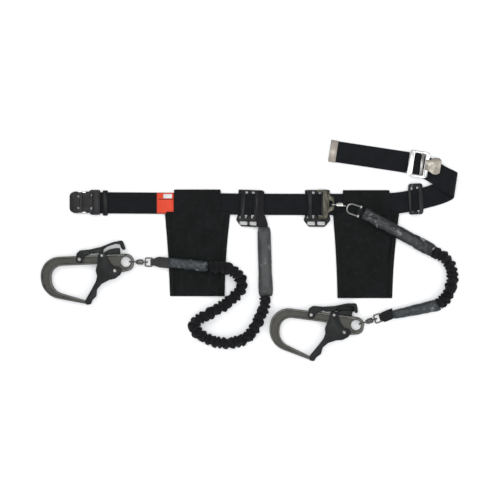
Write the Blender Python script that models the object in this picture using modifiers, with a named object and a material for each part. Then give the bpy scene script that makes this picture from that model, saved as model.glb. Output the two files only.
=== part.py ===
"""Waist belt with two shock-absorbing lanyards, large hooks and two pouches, lying flat.

Lengths in the outlines and sections below are millimetres and are turned into metres by MM
where a mesh or an object is made. +Z is up, the belt runs along X, and the buckle end is at -X.
"""

import math

import bmesh
import bpy
from mathutils import Matrix, Vector

MM = 0.001
GAP = 0.3                    # clearance between pieces that touch
OBJECT_NAME = "tool_belt"

# Driving dimensions, mm
ORIGIN_X, ORIGIN_Y = 1.6, 1.7      # moves the whole object so that the origin is mid box
ORIGIN_Z = -0.3              # and so that its lowest face is at the floor
BELT_WIDTH = 50.0
BELT_THICK = 2.4
BELT_Z = 5.3                 # mid height of the belt lying through its fittings
BELT_LOW = 3.9               # channel that the belt runs through in each fitting
BELT_HIGH = 6.7
FITTING_LOW = 0.6
FITTING_HIGH = 9.6
POUCH_LOW = 0.3
POUCH_HIGH = 9.7
CLOTH_WALL = 1.5
HOOK_Z = 9.5                 # mid plane of a hook lying flat
HOOK_BODY = 12.8             # thickness of the hook's body
GATE_WIDTH = 17.8            # outside width of the gate and lever cheeks
CHEEK = 2.2
EYE_THICK = 8.0
BUNGEE_RADIUS = 13.0
ROD_RADIUS = 1.7

# Where each assembly lies, mm and degrees
BUCKLE_AT = (-388.0, 110.5, 0.0)
KEEPER_AT = (-339.5, 109.0, 0.0)
HANGER_LEFT_AT = (1.0, 106.5, -2.0)
HANGER_RIGHT_AT = (158.0, 106.5, 0.0)
STOPPER_AT = (389.0, 117.8, 3.0)
ADJUSTER_AT = (371.3, 203.9, -8.7)
HOOKS = {
    "left": {"eye": (-290.7, -28.7), "turn": 2.4, "chain": -1.0},
    "right": {"eye": (248.4, -177.0), "turn": -7.6, "chain": 17.0},
}
RING_AT, RING_RADIUS = 15.5, 7.3
LINK_NEAR, LINK_FAR, LINK_HALF = 45.5, 62.0, 9.5
ANCHOR_Z, ANCHOR_RING = 14.1, 5.4


# ---------------------------------------------------------------- collections and materials
def clear_scene():
    for old in list(bpy.data.objects):
        bpy.data.objects.remove(old, do_unlink=True)


def new_collection(name):
    collection = bpy.data.collections.new(name)
    bpy.context.scene.collection.children.link(collection)
    return collection


clear_scene()
PARTS = new_collection(OBJECT_NAME)
CUTTERS = new_collection("cutters")


def material(name, color, roughness, metallic=0.0):
    made = bpy.data.materials.new(name)
    made.use_nodes = True
    shader = made.node_tree.nodes["Principled BSDF"]
    shader.inputs["Base Color"].default_value = (*color, 1.0)
    shader.inputs["Roughness"].default_value = roughness
    shader.inputs["Metallic"].default_value = metallic
    made.diffuse_color = (*color, 1.0)
    return made


FINISHES = {
    "webbing": material("webbing", (0.018, 0.018, 0.020), 0.85),
    "pouch_cloth": material("pouch_cloth", (0.020, 0.022, 0.021), 0.75),
    "black_plastic": material("black_plastic", (0.015, 0.015, 0.016), 0.45),
    "hook_alloy": material("hook_alloy", (0.10, 0.10, 0.095), 0.42, 0.8),
    "steel": material("steel", (0.62, 0.60, 0.57), 0.28, 1.0),
    "zinc": material("zinc", (0.33, 0.31, 0.24), 0.40, 0.9),
    "dark_steel": material("dark_steel", (0.16, 0.15, 0.14), 0.40, 0.9),
    "end_clamp": material("end_clamp", (0.36, 0.31, 0.27), 0.45, 0.6),
    "label": material("label", (0.75, 0.09, 0.05), 0.6),
    "cover_vinyl": material("cover_vinyl", (0.17, 0.18, 0.19), 0.35),
    "bungee": material("bungee", (0.016, 0.016, 0.018), 0.9),
}


# ---------------------------------------------------------------- shape helpers
def add_object(name, mesh, finish, at=(0.0, 0.0, 0.0), group=None):
    """Object with its mesh in a local frame placed by at = x, y in mm and a turn about Z."""
    made = bpy.data.objects.new(name, mesh)
    (group or PARTS).objects.link(made)
    made.location = (at[0] * MM, at[1] * MM, 0.0)
    made.rotation_euler = (0.0, 0.0, math.radians(at[2]))
    if finish:
        mesh.materials.clear()
        mesh.materials.append(FINISHES[finish])
    return made


def fillet(corners, steps=5):
    """Closed outline through (x, y, radius) corners, each rounded with an arc."""
    outline = []
    count = len(corners)
    for index, (x, y, radius) in enumerate(corners):
        here = Vector((x, y))
        before = Vector(corners[index - 1][:2]) - here
        after = Vector(corners[(index + 1) % count][:2]) - here
        half = before.angle(after) / 2.0
        if radius <= 0.0 or half > math.radians(88.5):
            outline.append(here)
            continue
        reach = min(radius / math.tan(half), before.length * 0.49, after.length * 0.49)
        radius = reach * math.tan(half)
        start = here + before.normalized() * reach
        end = here + after.normalized() * reach
        centre = here + (before.normalized() + after.normalized()).normalized() * (
            radius / math.sin(half))
        first = start - centre
        sweep = first.angle_signed(end - centre)
        for step in range(steps + 1):
            turned = Matrix.Rotation(-sweep * step / steps, 2) @ first
            outline.append(centre + turned)
    return outline


def circle(x, y, radius, steps=20):
    return [Vector((x + radius * math.cos(math.tau * i / steps),
                    y + radius * math.sin(math.tau * i / steps))) for i in range(steps)]


def rectangle(x0, y0, x1, y1, radius=0.0, steps=3):
    return fillet([(x0, y0, radius), (x1, y0, radius), (x1, y1, radius), (x0, y1, radius)], steps)


def mesh_from_curve(curve, turn=None):
    """Closed mesh of a curve's evaluated shape, with its caps welded on."""
    holder = bpy.data.objects.new("curve_holder", curve)
    CUTTERS.objects.link(holder)
    if turn is not None:
        holder.matrix_world = turn
    bpy.context.view_layer.update()
    shaped = holder.evaluated_get(bpy.context.evaluated_depsgraph_get())
    mesh = bpy.data.meshes.new_from_object(shaped)
    mesh.transform(holder.matrix_world)
    work = bmesh.new()
    work.from_mesh(mesh)
    bmesh.ops.remove_doubles(work, verts=work.verts, dist=1e-6)
    bmesh.ops.recalc_face_normals(work, faces=work.faces)
    work.to_mesh(mesh)
    work.free()
    bpy.data.objects.remove(holder, do_unlink=True)
    return mesh


def plate_mesh(outlines, low, high):
    """Flat outline with its holes, given thickness between two heights."""
    curve = bpy.data.curves.new("outline", "CURVE")
    curve.dimensions = "2D"
    curve.fill_mode = "BOTH"
    curve.extrude = (high - low) / 2.0 * MM
    for outline in outlines:
        spline = curve.splines.new("POLY")
        spline.points.add(len(outline) - 1)
        for point, (x, y) in zip(spline.points, outline):
            point.co = (x * MM, y * MM, 0.0, 1.0)
        spline.use_cyclic_u = True
    return mesh_from_curve(curve, Matrix.Translation((0, 0, (low + high) / 2.0 * MM)))


def plate(name, outlines, low, high, finish, at=(0.0, 0.0, 0.0), group=None):
    return add_object(name, plate_mesh(outlines, low, high), finish, at, group)


def profile_bar(name, outlines, y0, y1, finish, at=(0.0, 0.0, 0.0)):
    """Outline in the X-Z plane, extruded along Y."""
    mesh = plate_mesh(outlines, -y1, -y0)
    mesh.transform(Matrix.Rotation(math.radians(90.0), 4, "X"))
    return add_object(name, mesh, finish, at)


def side_bar(name, outlines, x0, x1, finish, at=(0.0, 0.0, 0.0)):
    """Outline in the Y-Z plane, extruded along X."""
    mesh = plate_mesh(outlines, x0, x1)
    mesh.transform(Matrix(((0, 0, 1, 0), (1, 0, 0, 0), (0, 1, 0, 0), (0, 0, 0, 1))))
    return add_object(name, mesh, finish, at)


def cylinder_mesh(centre, radius, length, direction, sides=16):
    """Round bar about a centre, along a direction in the local frame."""
    mesh = bpy.data.meshes.new("bar")
    work = bmesh.new()
    bmesh.ops.create_cone(work, cap_ends=True, segments=sides, radius1=radius * MM,
                          radius2=radius * MM, depth=length * MM)
    turn = Vector((0, 0, 1)).rotation_difference(Vector(direction)).to_matrix().to_4x4()
    bmesh.ops.transform(work, matrix=Matrix.Translation(Vector(centre) * MM) @ turn,
                        verts=work.verts)
    work.to_mesh(mesh)
    work.free()
    return mesh


def rod(name, centre, radius, length, direction, finish, at=(0.0, 0.0, 0.0), sides=16):
    return add_object(name, cylinder_mesh(centre, radius, length, direction, sides), finish, at)


def block(name, low, high, finish, at=(0.0, 0.0, 0.0), group=None):
    mesh = bpy.data.meshes.new(name)
    work = bmesh.new()
    size = Vector(high) - Vector(low)
    middle = (Vector(high) + Vector(low)) / 2.0
    bmesh.ops.create_cube(work, size=1.0)
    bmesh.ops.transform(work, verts=work.verts, matrix=Matrix.Translation(middle * MM)
                        @ Matrix.Diagonal((*(size * MM), 1.0)))
    work.to_mesh(mesh)
    work.free()
    return add_object(name, mesh, finish, at, group)


def loop_mesh(points, radius, closed, sides=2):
    """Bent round wire through points in mm."""
    curve = bpy.data.curves.new("wire", "CURVE")
    curve.dimensions = "3D"
    curve.bevel_depth = radius * MM
    curve.bevel_resolution = sides
    curve.use_fill_caps = True
    spline = curve.splines.new("POLY")
    spline.points.add(len(points) - 1)
    for point, place in zip(spline.points, points):
        point.co = (*(Vector(place) * MM), 1.0)
    spline.use_cyclic_u = closed
    return mesh_from_curve(curve)


def boolean(target, tool, operation):
    change = target.modifiers.new(tool.name, "BOOLEAN")
    change.operation = operation
    change.object = tool
    change.solver = "EXACT"
    tool.hide_render = True
    tool.display_type = "WIRE"
    return target


def cut_box(target, low, high, at=(0.0, 0.0, 0.0)):
    tool = block("cut_" + target.name, low, high, None, at, CUTTERS)
    return boolean(target, tool, "DIFFERENCE")


def cut_plate(target, outlines, low, high, at=(0.0, 0.0, 0.0)):
    tool = plate("cut_" + target.name, outlines, low, high, None, at, CUTTERS)
    return boolean(target, tool, "DIFFERENCE")


def join(target, mesh, at=(0.0, 0.0, 0.0)):
    tool = add_object("join_" + target.name, mesh, None, at, CUTTERS)
    return boolean(target, tool, "UNION")


def smooth_path(points, steps):
    """Catmull-Rom curve through the points, steps to a span."""
    guides = [Vector(p) for p in points]
    guides = [guides[0] * 2 - guides[1], *guides, guides[-1] * 2 - guides[-2]]
    path = []
    for index in range(1, len(guides) - 2):
        p0, p1, p2, p3 = guides[index - 1:index + 3]
        for step in range(steps):
            t = step / steps
            path.append(0.5 * (2 * p1 + (p2 - p0) * t + (2 * p0 - 5 * p1 + 4 * p2 - p3) * t * t
                               + (3 * p1 - p0 - 3 * p2 + p3) * t * t * t))
    path.append(guides[-2])
    return path


def ribbon_mesh(left, right, thick):
    """Strap between two edge paths of equal length, thick mm deep."""
    work = bmesh.new()
    rings = []
    count = len(left)
    for index in range(count):
        ahead = min(index + 1, count - 1)
        behind = max(index - 1, 0)
        along = (left[ahead] + right[ahead]) - (left[behind] + right[behind])
        normal = (right[index] - left[index]).cross(along).normalized() * (thick / 2.0)
        ring = [left[index] + normal, right[index] + normal,
                right[index] - normal, left[index] - normal]
        rings.append([work.verts.new(point * MM) for point in ring])
    for near, far in zip(rings, rings[1:]):
        for side in range(4):
            work.faces.new((near[side], near[(side + 1) % 4], far[(side + 1) % 4], far[side]))
    work.faces.new(rings[0])
    work.faces.new(rings[-1])
    bmesh.ops.recalc_face_normals(work, faces=work.faces)
    mesh = bpy.data.meshes.new("ribbon")
    work.to_mesh(mesh)
    work.free()
    return mesh


# ---------------------------------------------------------------- belt and its fittings
def make_belt():
    """Webbing from the buckle, folded over at the right and led back as the free tail."""
    upper = [(-364, 134.6, BELT_Z), (-200, 133.4, BELT_Z), (0, 131.2, BELT_Z),
             (180, 130.6, BELT_Z), (300, 131.6, BELT_Z), (345, 134.0, BELT_Z),
             (377, 139.5, BELT_Z), (409, 146.5, BELT_Z), (440, 158.0, BELT_Z),
             (466, 169.0, 5.6), (481.5, 177.0, 8.5), (485.0, 180.0, 14.0),
             (478.0, 183.5, 19.2), (462.0, 192.0, 13.0), (444.0, 203.0, 7.5),
             (425.0, 214.5, 5.6), (404.0, 222.8, BELT_Z), (376.0, 228.3, BELT_Z),
             (330.0, 235.2, BELT_Z), (260.0, 245.8, BELT_Z), (203.0, 254.4, BELT_Z)]
    lower = [(-364, 84.6, BELT_Z), (-200, 83.4, BELT_Z), (0, 81.2, BELT_Z),
             (180, 80.6, BELT_Z), (300, 81.6, BELT_Z), (350, 84.6, BELT_Z),
             (384, 90.4, BELT_Z), (421, 98.6, BELT_Z), (452, 107.5, BELT_Z),
             (469, 114.5, 5.6), (475.5, 119.0, 8.5), (476.0, 122.5, 14.0),
             (468.0, 127.0, 19.2), (449.0, 137.5, 16.0), (426.0, 154.5, 9.3),
             (404.0, 168.0, BELT_Z), (389.0, 176.0, BELT_Z), (368.5, 179.3, BELT_Z),
             (322.5, 186.4, BELT_Z), (252.5, 197.0, BELT_Z), (195.5, 205.6, BELT_Z)]
    add_object("belt_webbing", ribbon_mesh(smooth_path(upper, 3), smooth_path(lower, 3),
                                           BELT_THICK), "webbing")


def make_belt_end_tip():
    at = (203.2, 229.4, -8.7)
    tip = block("belt_end_tip", (-16.5, -25.8, 2.6), (0.5, 25.8, 8.0), "end_clamp", at)
    cut_box(tip, (-6.0, -30.0, BELT_Z - 1.5), (10.0, 30.0, BELT_Z + 1.5), at)


def threaded_fitting(name, outline, window, front, rear, at, finish, low=FITTING_LOW,
                     high=FITTING_HIGH):
    """Slide that the belt is threaded through: bars pass in front of it or behind it.

    window is the half height of the opening; front and rear are (x0, x1) stretches whose bars
    lie above or below the belt. What lies between two stretches is open right through.
    """
    made = plate(name, [outline], low, high, finish, at)
    far = 300.0
    cut_box(made, (-far, -window, BELT_LOW), (far, window, BELT_HIGH), at)
    for x0, x1 in front:
        cut_box(made, (x0, -window, low - 1.0), (x1, window, BELT_LOW + 0.5), at)
    for x0, x1 in rear:
        cut_box(made, (x0, -window, BELT_HIGH - 0.5), (x1, window, high + 1.0), at)
    return made


def open_bays(fitting, bays, window, at):
    for x0, x1 in bays:
        cut_box(fitting, (x0, -window, -1.0), (x1, window, 30.0), at)


def make_buckle():
    """One-touch female buckle: a case, a cover, two spring levers and the release springs."""
    at = BUCKLE_AT
    case = plate("buckle_case", [fillet([
        (-34.5, -19, 7), (-28, -24.6, 5), (12, -24.6, 2), (16, -29.2, 3), (36.5, -29.2, 3),
        (36.5, 29.2, 3), (16, 29.2, 3), (10, 25.0, 2), (-28, 25.0, 5), (-34.5, 19, 7)])],
        0.4, 12.0, "black_plastic", at)
    cut_box(case, (-30.0, -15.0, 3.0), (10.0, 15.0, 9.5), at)
    cut_box(case, (-40.0, -15.0, 3.0), (-29.0, 15.0, 9.5), at)
    cut_box(case, (22.0, -26.8, 3.2), (40.0, 26.8, 8.6), at)
    for side in (-1, 1):
        cut_plate(case, [fillet([(12.5, side * 12.0, 1.2), (20.5, side * 10.0, 1.2),
                                 (19.0, side * 17.5, 1.2), (13.5, side * 20.5, 1.2)])],
                  -1.0, 14.0, at)
        y0, y1 = sorted((side * 14.0, side * 30.0))
        cut_box(case, (-18.6, y0, 3.0), (6.6, y1, 9.5), at)
        y0, y1 = sorted((side * 18.2, side * 26.4))
        lever = block("buckle_lever_" + ("upper" if side > 0 else "lower"),
                      (-18.0, y0, 3.3), (6.0, y1, 9.2), "steel", at)
        lever.modifiers.new("edge", "BEVEL").width = 0.8 * MM
    plate("buckle_cover", [fillet([(-34.0, -18, 7), (-28, -24.0, 5), (-3.5, -24.0, 1),
                                   (-3.5, 24.0, 1), (-28, 24.0, 5), (-34.0, 18, 7)])],
          12.3, 14.6, "black_plastic", at)
    for index, y in enumerate((-13.5, 13.5)):
        rod(f"buckle_rivet_{index + 1}", (-13.5, y, 15.6), 2.6, 1.4, (0, 0, 1), "steel", at)
    rod("buckle_spring", (-6.0, 0.0, 6.2), 2.2, 28.0, (0, 1, 0), "steel", at, 12)


def make_keeper():
    at = KEEPER_AT
    keeper = block("belt_keeper", (-5.5, -29.5, FITTING_LOW), (5.5, 29.5, 8.8),
                   "black_plastic", at)
    cut_box(keeper, (-20.0, -26.5, BELT_LOW - 1.3), (20.0, 26.5, BELT_HIGH + 0.2), at)


def make_hanger(name, at):
    """Hook hanger: a ladder for the belt above a loop with two slots for a hook to rest in."""
    made = threaded_fitting(name, fillet([
        (-29, 33.0, 2), (-29, -28, 6), (-32.5, -38, 6), (-20.5, -53, 7), (17.0, -53.5, 7),
        (30.5, -38, 6), (29, -28, 6), (29, 33.0, 2)]), 29.4,
        [(-23.5, -12.0), (9.0, 20.0)], [(-7.0, 3.0)], at, "black_plastic")
    open_bays(made, [(-12.5, -6.5), (2.5, 9.5)], 29.4, at)
    cut_box(made, (-40, -29.4, BELT_LOW - 1.0), (-23.0, 29.4, 30.0), at)
    cut_box(made, (19.5, -29.4, BELT_LOW - 1.0), (40, 29.4, 30.0), at)
    for x0, x1 in ((-24.0, -5.4), (-0.6, 18.0)):
        cut_plate(made, [rectangle(x0, -49.8, x1, -41.0, 2.2)], -1.0, 12.0, at)
    for x in (-23.5, -10.0, 4.5):
        cut_plate(made, [circle(x, -31.5, 2.4, 12)], -1.0, 12.0, at)


def make_d_plate():
    """Zinc plate on the belt over the right hanger, with an eye for the lanyard's swivel."""
    at = (158.0, 106.5, 0.0)
    high = FITTING_HIGH + 1.3
    top = high + 3.0
    made = plate("d_plate", [
        fillet([(-1, 33.5, 2), (-1, 27.2, 1), (13.0, 27.2, 1), (13.0, -27.2, 1), (2, -27.2, 1),
                (2, -35.0, 3), (22, -35.0, 6), (26.0, -20.0, 4), (38.0, -14.0, 7),
                (39.5, 0, 4), (38.5, 15, 8), (28, 22, 4), (24.0, 33.5, 3)]),
        fillet([(27.2, -8.5, 1.5), (35.4, -4.0, 2.5), (35.4, 5.0, 2.5), (27.2, 9.5, 1.5)])],
        high, top, "zinc", at)
    return made


def make_stopper():
    at = STOPPER_AT
    made = threaded_fitting("belt_stopper", fillet([
        (-15.5, 37, 6), (-17.5, 22, 2), (-16.5, -22, 2), (-18, -35.5, 5), (14, -35.5, 5),
        (16.5, -24, 2), (16.5, 24, 2), (17, 37, 6)]), 29.6,
        [(-25.0, -11.0), (7.0, 25.0)], [(-6.5, 2.5)], at, "black_plastic")
    open_bays(made, [(-11.1, -6.4), (2.4, 7.1)], 29.6, at)
    for x, y in ((-7.0, 33.2), (5.5, -32.6)):
        cut_plate(made, [circle(x, y, 1.9, 12)], -1.0, 12.0, at)


def make_adjuster():
    """Male tongue with its adjuster frame, slide bar and the turn of webbing over the bar."""
    at = ADJUSTER_AT
    low, high = 7.5, 12.3
    frame = plate("adjuster_frame", [rectangle(0, -30.5, 47.0, 30.5, 5.0),
                                     rectangle(11.5, -25.8, 37.6, 25.8, 1.5)],
                  low, high, "steel", at)
    cut_box(frame, (27.4, -28.4, 8.3), (37.0, 28.4, 10.7), at)
    block("slide_bar", (28.6, -27.8, 8.6), (35.4, 27.8, 10.4), "steel", at)
    turn = fillet([(13.2, 7.0, 0.8), (26.6, 7.0, 0.8), (26.6, 13.0, 5.0), (13.2, 13.0, 5.0)], 4)
    profile_bar("belt_wrap", [turn], -25.3, 25.3, "webbing", at)
    plate("tongue_plate", [fillet([
        (39, -12, 1), (39, 12, 1), (50, 14, 2), (54, 17.5, 3), (60, 20.5, 2), (70, 20.5, 3),
        (75.5, 16, 3), (75.5, -14, 3), (68, -19.0, 3), (60, -19.0, 2), (54, -16, 3), (50, -14, 2)])],
        high + GAP, high + 3.6, "steel", at)
    rod("tongue_rivet", (43.6, -1.0, high + 4.7), 2.6, 1.6, (0, 0, 1), "steel", at)


def make_label():
    block("label", (-218.5, 84.5, 6.8), (-179.0, 133.0, 7.5), "label")


# ---------------------------------------------------------------- hook pouches
POUCHES = {
    "left": {"mouth": (-199.5, -47.0), "foot": (-187.0, -60.5), "strap": (-178.0, -69.0),
             "mouth_y": 79.0, "foot_y": -108.5, "top_y": 141.0},
    "right": {"mouth": (195.0, 349.5), "foot": (206.0, 332.5), "strap": (218.0, 327.0),
              "mouth_y": 79.0, "foot_y": -113.0, "top_y": 139.5},
}


def make_pouch(side):
    """Flat open-topped bag with a strap that goes over the belt and down behind it."""
    size = POUCHES[side]
    low, high = POUCH_LOW, POUCH_HIGH
    (m0, m1), (f0, f1) = size["mouth"], size["foot"]
    my, fy, ty = size["mouth_y"], size["foot_y"], size["top_y"]
    bag = plate(side + "_pouch_bag", [fillet([(m0, my, 0.5), (f0, fy, 3), (f1, fy, 3),
                                              (m1, my, 0.5)])], low, high, "pouch_cloth")
    wall = CLOTH_WALL
    cut_plate(bag, [fillet([(m0 + 2.5, my + 5, 0), (f0 + 2.5, fy + 2.5, 2),
                            (f1 - 2.5, fy + 2.5, 2), (m1 - 2.5, my + 5, 0)])],
              low + wall, high - wall)
    start = my + GAP
    s0, s1 = size["strap"]
    strap = [(start, low + 0.4), (ty, low + 0.4), (ty, high - 0.8), (start, high - 0.8),
             (start, high - 2.4), (ty - 2.0, high - 2.4), (ty - 2.0, low + 2.0),
             (start, low + 2.0)]
    side_bar(side + "_pouch_strap", [[Vector(p) for p in strap]], s0, s1, "pouch_cloth")


# ---------------------------------------------------------------- hooks
def hook_outline():
    """Outline of the bow, spine and eye; the eye's centre is the origin."""
    return fillet([(18.5, 19, 18), (18.5, -19, 17), (-12, -25, 6), (-38, -29, 9), (-44, -3, 8),
                   (-176, -3, 26), (-176, -60.2, 34), (-93, -88.2, 1), (-88, -94.5, 1.5),
                   (-92, -95.8, 2), (-200, -70.5, 50), (-200, 18, 50)], 7)


def make_hook(side):
    at = (*HOOKS[side]["eye"], HOOKS[side]["turn"])
    low, high = HOOK_Z - HOOK_BODY / 2.0, HOOK_Z + HOOK_BODY / 2.0
    out_low, out_high = HOOK_Z - GATE_WIDTH / 2.0, HOOK_Z + GATE_WIDTH / 2.0
    body = plate(side + "_hook_body", [hook_outline(), circle(0, 0, 12.0, 24)], low, high,
                 "hook_alloy", at)
    for z0, z1 in ((low - 2.0, HOOK_Z - EYE_THICK / 2.0), (HOOK_Z + EYE_THICK / 2.0, high + 2.0)):
        cut_box(body, (2.0, -40.0, z0), (40.0, 40.0, z1), at)
    make_gate(side, at, low, high, out_low, out_high)
    make_lever(side, at, low, high, out_low, out_high)
    plate(side + "_back_guard", [fillet([
        (-49, 19.2, 2), (-49, 24, 3), (-35, 29.2, 8), (-20, 31, 8), (-12.5, 31, 3),
        (-12.5, 19.2, 1)])], low + 0.3, high - 0.3, "black_plastic", at)
    head = 1.4
    rod(side + "_rivet_gate", (-26, -20, out_high + GAP + head / 2.0), 4.2, head, (0, 0, 1),
        "steel", at)
    rod(side + "_rivet_lug", (-55, 17, out_high + GAP + head / 2.0), 3.6, head, (0, 0, 1),
        "steel", at)
    rod(side + "_rivet_lever", (-108, 10, out_high + GAP + head / 2.0), 4.2, head, (0, 0, 1),
        "steel", at)


def make_gate(side, at, low, high, out_low, out_high):
    """Gate: two cheeks outside the body, joined by a solid arm that reaches the nose."""
    gate = plate(side + "_gate", [fillet([
        (-63, 22, 4), (-66, 0, 6), (-71, -18, 12), (-68, -30, 10), (-71, -42, 8),
        (-84, -64, 40), (-99, -88, 2), (-96, -96.4, 2), (-87, -96.4, 3), (-82, -86, 5),
        (-73, -78, 5), (-71, -62, 8), (-60, -50, 12), (-42, -41.5, 12), (-27, -38.5, 10),
        (-15, -30, 8), (-9.5, -20, 4), (-14, -11, 8), (-28, -9, 10), (-36, 0, 10),
        (-42, 12, 6), (-46, 24, 4)], 4)], out_low, out_high, "black_plastic", at)
    inside = (out_low + CHEEK, out_high - CHEEK)
    cut_plate(gate, [fillet([(-80, 40, 0), (-90, -39.5, 0), (-64, -39.5, 3), (-46, -35.5, 3),
                             (-30, -32.5, 3), (-18, -29.5, 3), (-5, -27.5, 0), (0, 40, 0)], 2)],
              *inside, at)
    cut_plate(gate, [fillet([(-120, -70, 0), (-93.5, -86.2, 2), (-86.2, -93.6, 2),
                             (-86.0, -110, 0), (-120, -110, 0)], 2)], *inside, at)


def make_lever(side, at, low, high, out_low, out_high):
    """Back lever: hinged on the spine near the bow, with a finger slot at its free end."""
    lever = plate(side + "_lever", [fillet([
        (-117, 3, 7), (-114, 24, 4), (-106, 31, 6), (-84, 32.2, 20), (-55, 38, 30),
        (-28, 47.5, 30), (-6, 51, 5), (-1.5, 38, 8), (0.5, 29, 3), (-6, 27.5, 3),
        (-10, 34, 3), (-11, 41.2, 3), (-22, 43.2, 6), (-43, 37.0, 6), (-51.5, 31, 4),
        (-53, 23.6, 1), (-80, 21.6, 1), (-90, 19.8, 3), (-97, 12, 6), (-101, 2, 5)], 4)],
        out_low, out_high, "black_plastic", at)
    inside = (out_low + CHEEK, out_high - CHEEK)
    cut_plate(lever, [fillet([(-140, -20, 0), (-80, -20, 0), (-80, 24.0, 0), (-140, 24.0, 0)],
                             1)], *inside, at)
    for z0, z1 in ((out_low - 3.0, low), (high, out_high + 3.0)):
        cut_box(lever, (-82.0, 0.0, z0), (20.0, 60.0, z1), at)


def make_chain(side):
    """Ring through the hook's eye, swivel barrel, link and the webbing turned round the link."""
    at = (*HOOKS[side]["eye"], HOOKS[side]["chain"])
    z = HOOK_Z
    ring = [(RING_AT + RING_RADIUS * math.cos(a), 0.0, z + RING_RADIUS * math.sin(a))
            for a in (math.tau * i / 20 for i in range(20))]
    ring_object = add_object(side + "_swivel_ring", loop_mesh(ring, ROD_RADIUS, True), "dark_steel",
                             at)
    join(ring_object, cylinder_mesh((RING_AT + RING_RADIUS + 2.9, 0.0, z), 5.0, 3.4, (1, 0, 0)),
         at)
    barrel_start = RING_AT + RING_RADIUS + 4.6 + GAP
    barrel = rod(side + "_swivel_barrel", (barrel_start + 6.6, 0, z), 6.4, 13.2, (1, 0, 0),
                 "dark_steel", at)
    eye = [(LINK_NEAR + 5.0 * math.cos(a), 0.0, z + 5.0 * math.sin(a))
           for a in (math.tau * i / 16 for i in range(16))]
    join(barrel, loop_mesh(eye, 1.7, True), at)
    half, far = LINK_HALF, LINK_FAR
    link = [(x, y, z) for x, y in rectangle(LINK_NEAR, -half, far, half, 2.6, 3)]
    add_object(side + "_link", loop_mesh(link, ROD_RADIUS, True), "dark_steel", at)


def strap_round_link(name, at, reach, rise):
    """Webbing folded round the link's far bar and stitched to itself."""
    z = HOOK_Z
    outer = [(LINK_FAR + 4.6 * math.cos(math.radians(a)), z + 4.6 * math.sin(math.radians(a)))
             for a in range(90, 271, 20)]
    outline = [Vector(p) for p in outer]
    outline += [Vector((LINK_FAR + 8.0, z - 3.4)), Vector((LINK_FAR + reach, z - 3.4 + rise)),
                Vector((LINK_FAR + reach, z + 3.4 + rise)), Vector((LINK_FAR + 8.0, z + 3.6))]
    hole = circle(LINK_FAR, z, 2.3, 12)
    profile_bar(name, [outline, hole], -6.6, 6.6, "webbing", at)


# ---------------------------------------------------------------- lanyards
def make_cover(name, centre, length, wide, turn, low, high, taper, finish):
    """Soft rectangular sleeve, narrower at its first end."""
    at = (*centre, turn)
    half = wide / 2.0
    plate(name, [fillet([(-length / 2, -half * taper, 4), (length / 2, -half, 5),
                         (length / 2, half, 5), (-length / 2, half * taper, 4)], 3)],
          low, high, finish, at)


BUNGEE_ROUTES = {
    "left": [(37.4, -110.4, 13.4), (36.0, -122.0, 13.4), (29.0, -146.0, 13.4),
             (17.0, -174.0, 13.4), (0.0, -198.0, 13.4), (-22.0, -213.0, 13.4),
             (-47.0, -219.5, 13.4), (-75.0, -217.0, 13.4), (-102.0, -208.0, 13.4),
             (-122.0, -196.0, 13.4), (-130.5, -182.5, 13.4), (-125.0, -169.0, 13.4),
             (-107.0, -157.0, 13.4), (-82.0, -143.0, 13.4), (-58.0, -128.0, 13.4),
             (-38.0, -112.5, 14.0), (-23.0, -95.0, 16.5), (-19.5, -77.0, 20.0),
             (-30.0, -58.0, 22.8), (-50.0, -45.0, 23.2), (-72.0, -40.5, 23.2),
             (-94.4, -40.6, 23.2)],
    "right": [(428.8, -4.6, 15.0), (438.0, -9.0, 13.8), (452.0, -16.0, 13.4),
              (465.0, -32.0, 13.4), (473.0, -52.0, 13.4), (473.5, -74.0, 13.4),
              (467.5, -95.0, 13.4), (460.0, -110.0, 13.4), (451.0, -120.5, 13.4),
              (441.5, -127.3, 13.4)],
}


def make_bungee(side):
    route = smooth_path(BUNGEE_ROUTES[side], 3 if side == "left" else 4)
    add_object(side + "_bungee", loop_mesh(route, BUNGEE_RADIUS, False), "bungee")


def make_left_lanyard():
    """Strap over the belt beside the hanger, then the absorber in its cover and the end cover."""
    block("left_top_loop", (20.0, 52.0, 10.0), (33.5, 137.0, 12.2), "webbing")
    make_cover("left_absorber_cover", (34.9, -28.9), 159.7, 35.0, -88.3, 1.0, 19.0, 0.9,
               "cover_vinyl")
    make_cover("left_end_cover", (-143.5, -35.0), 93.0, 27.0, -6.5, 10.2, 26.2, 0.95,
               "cover_vinyl")


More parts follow.
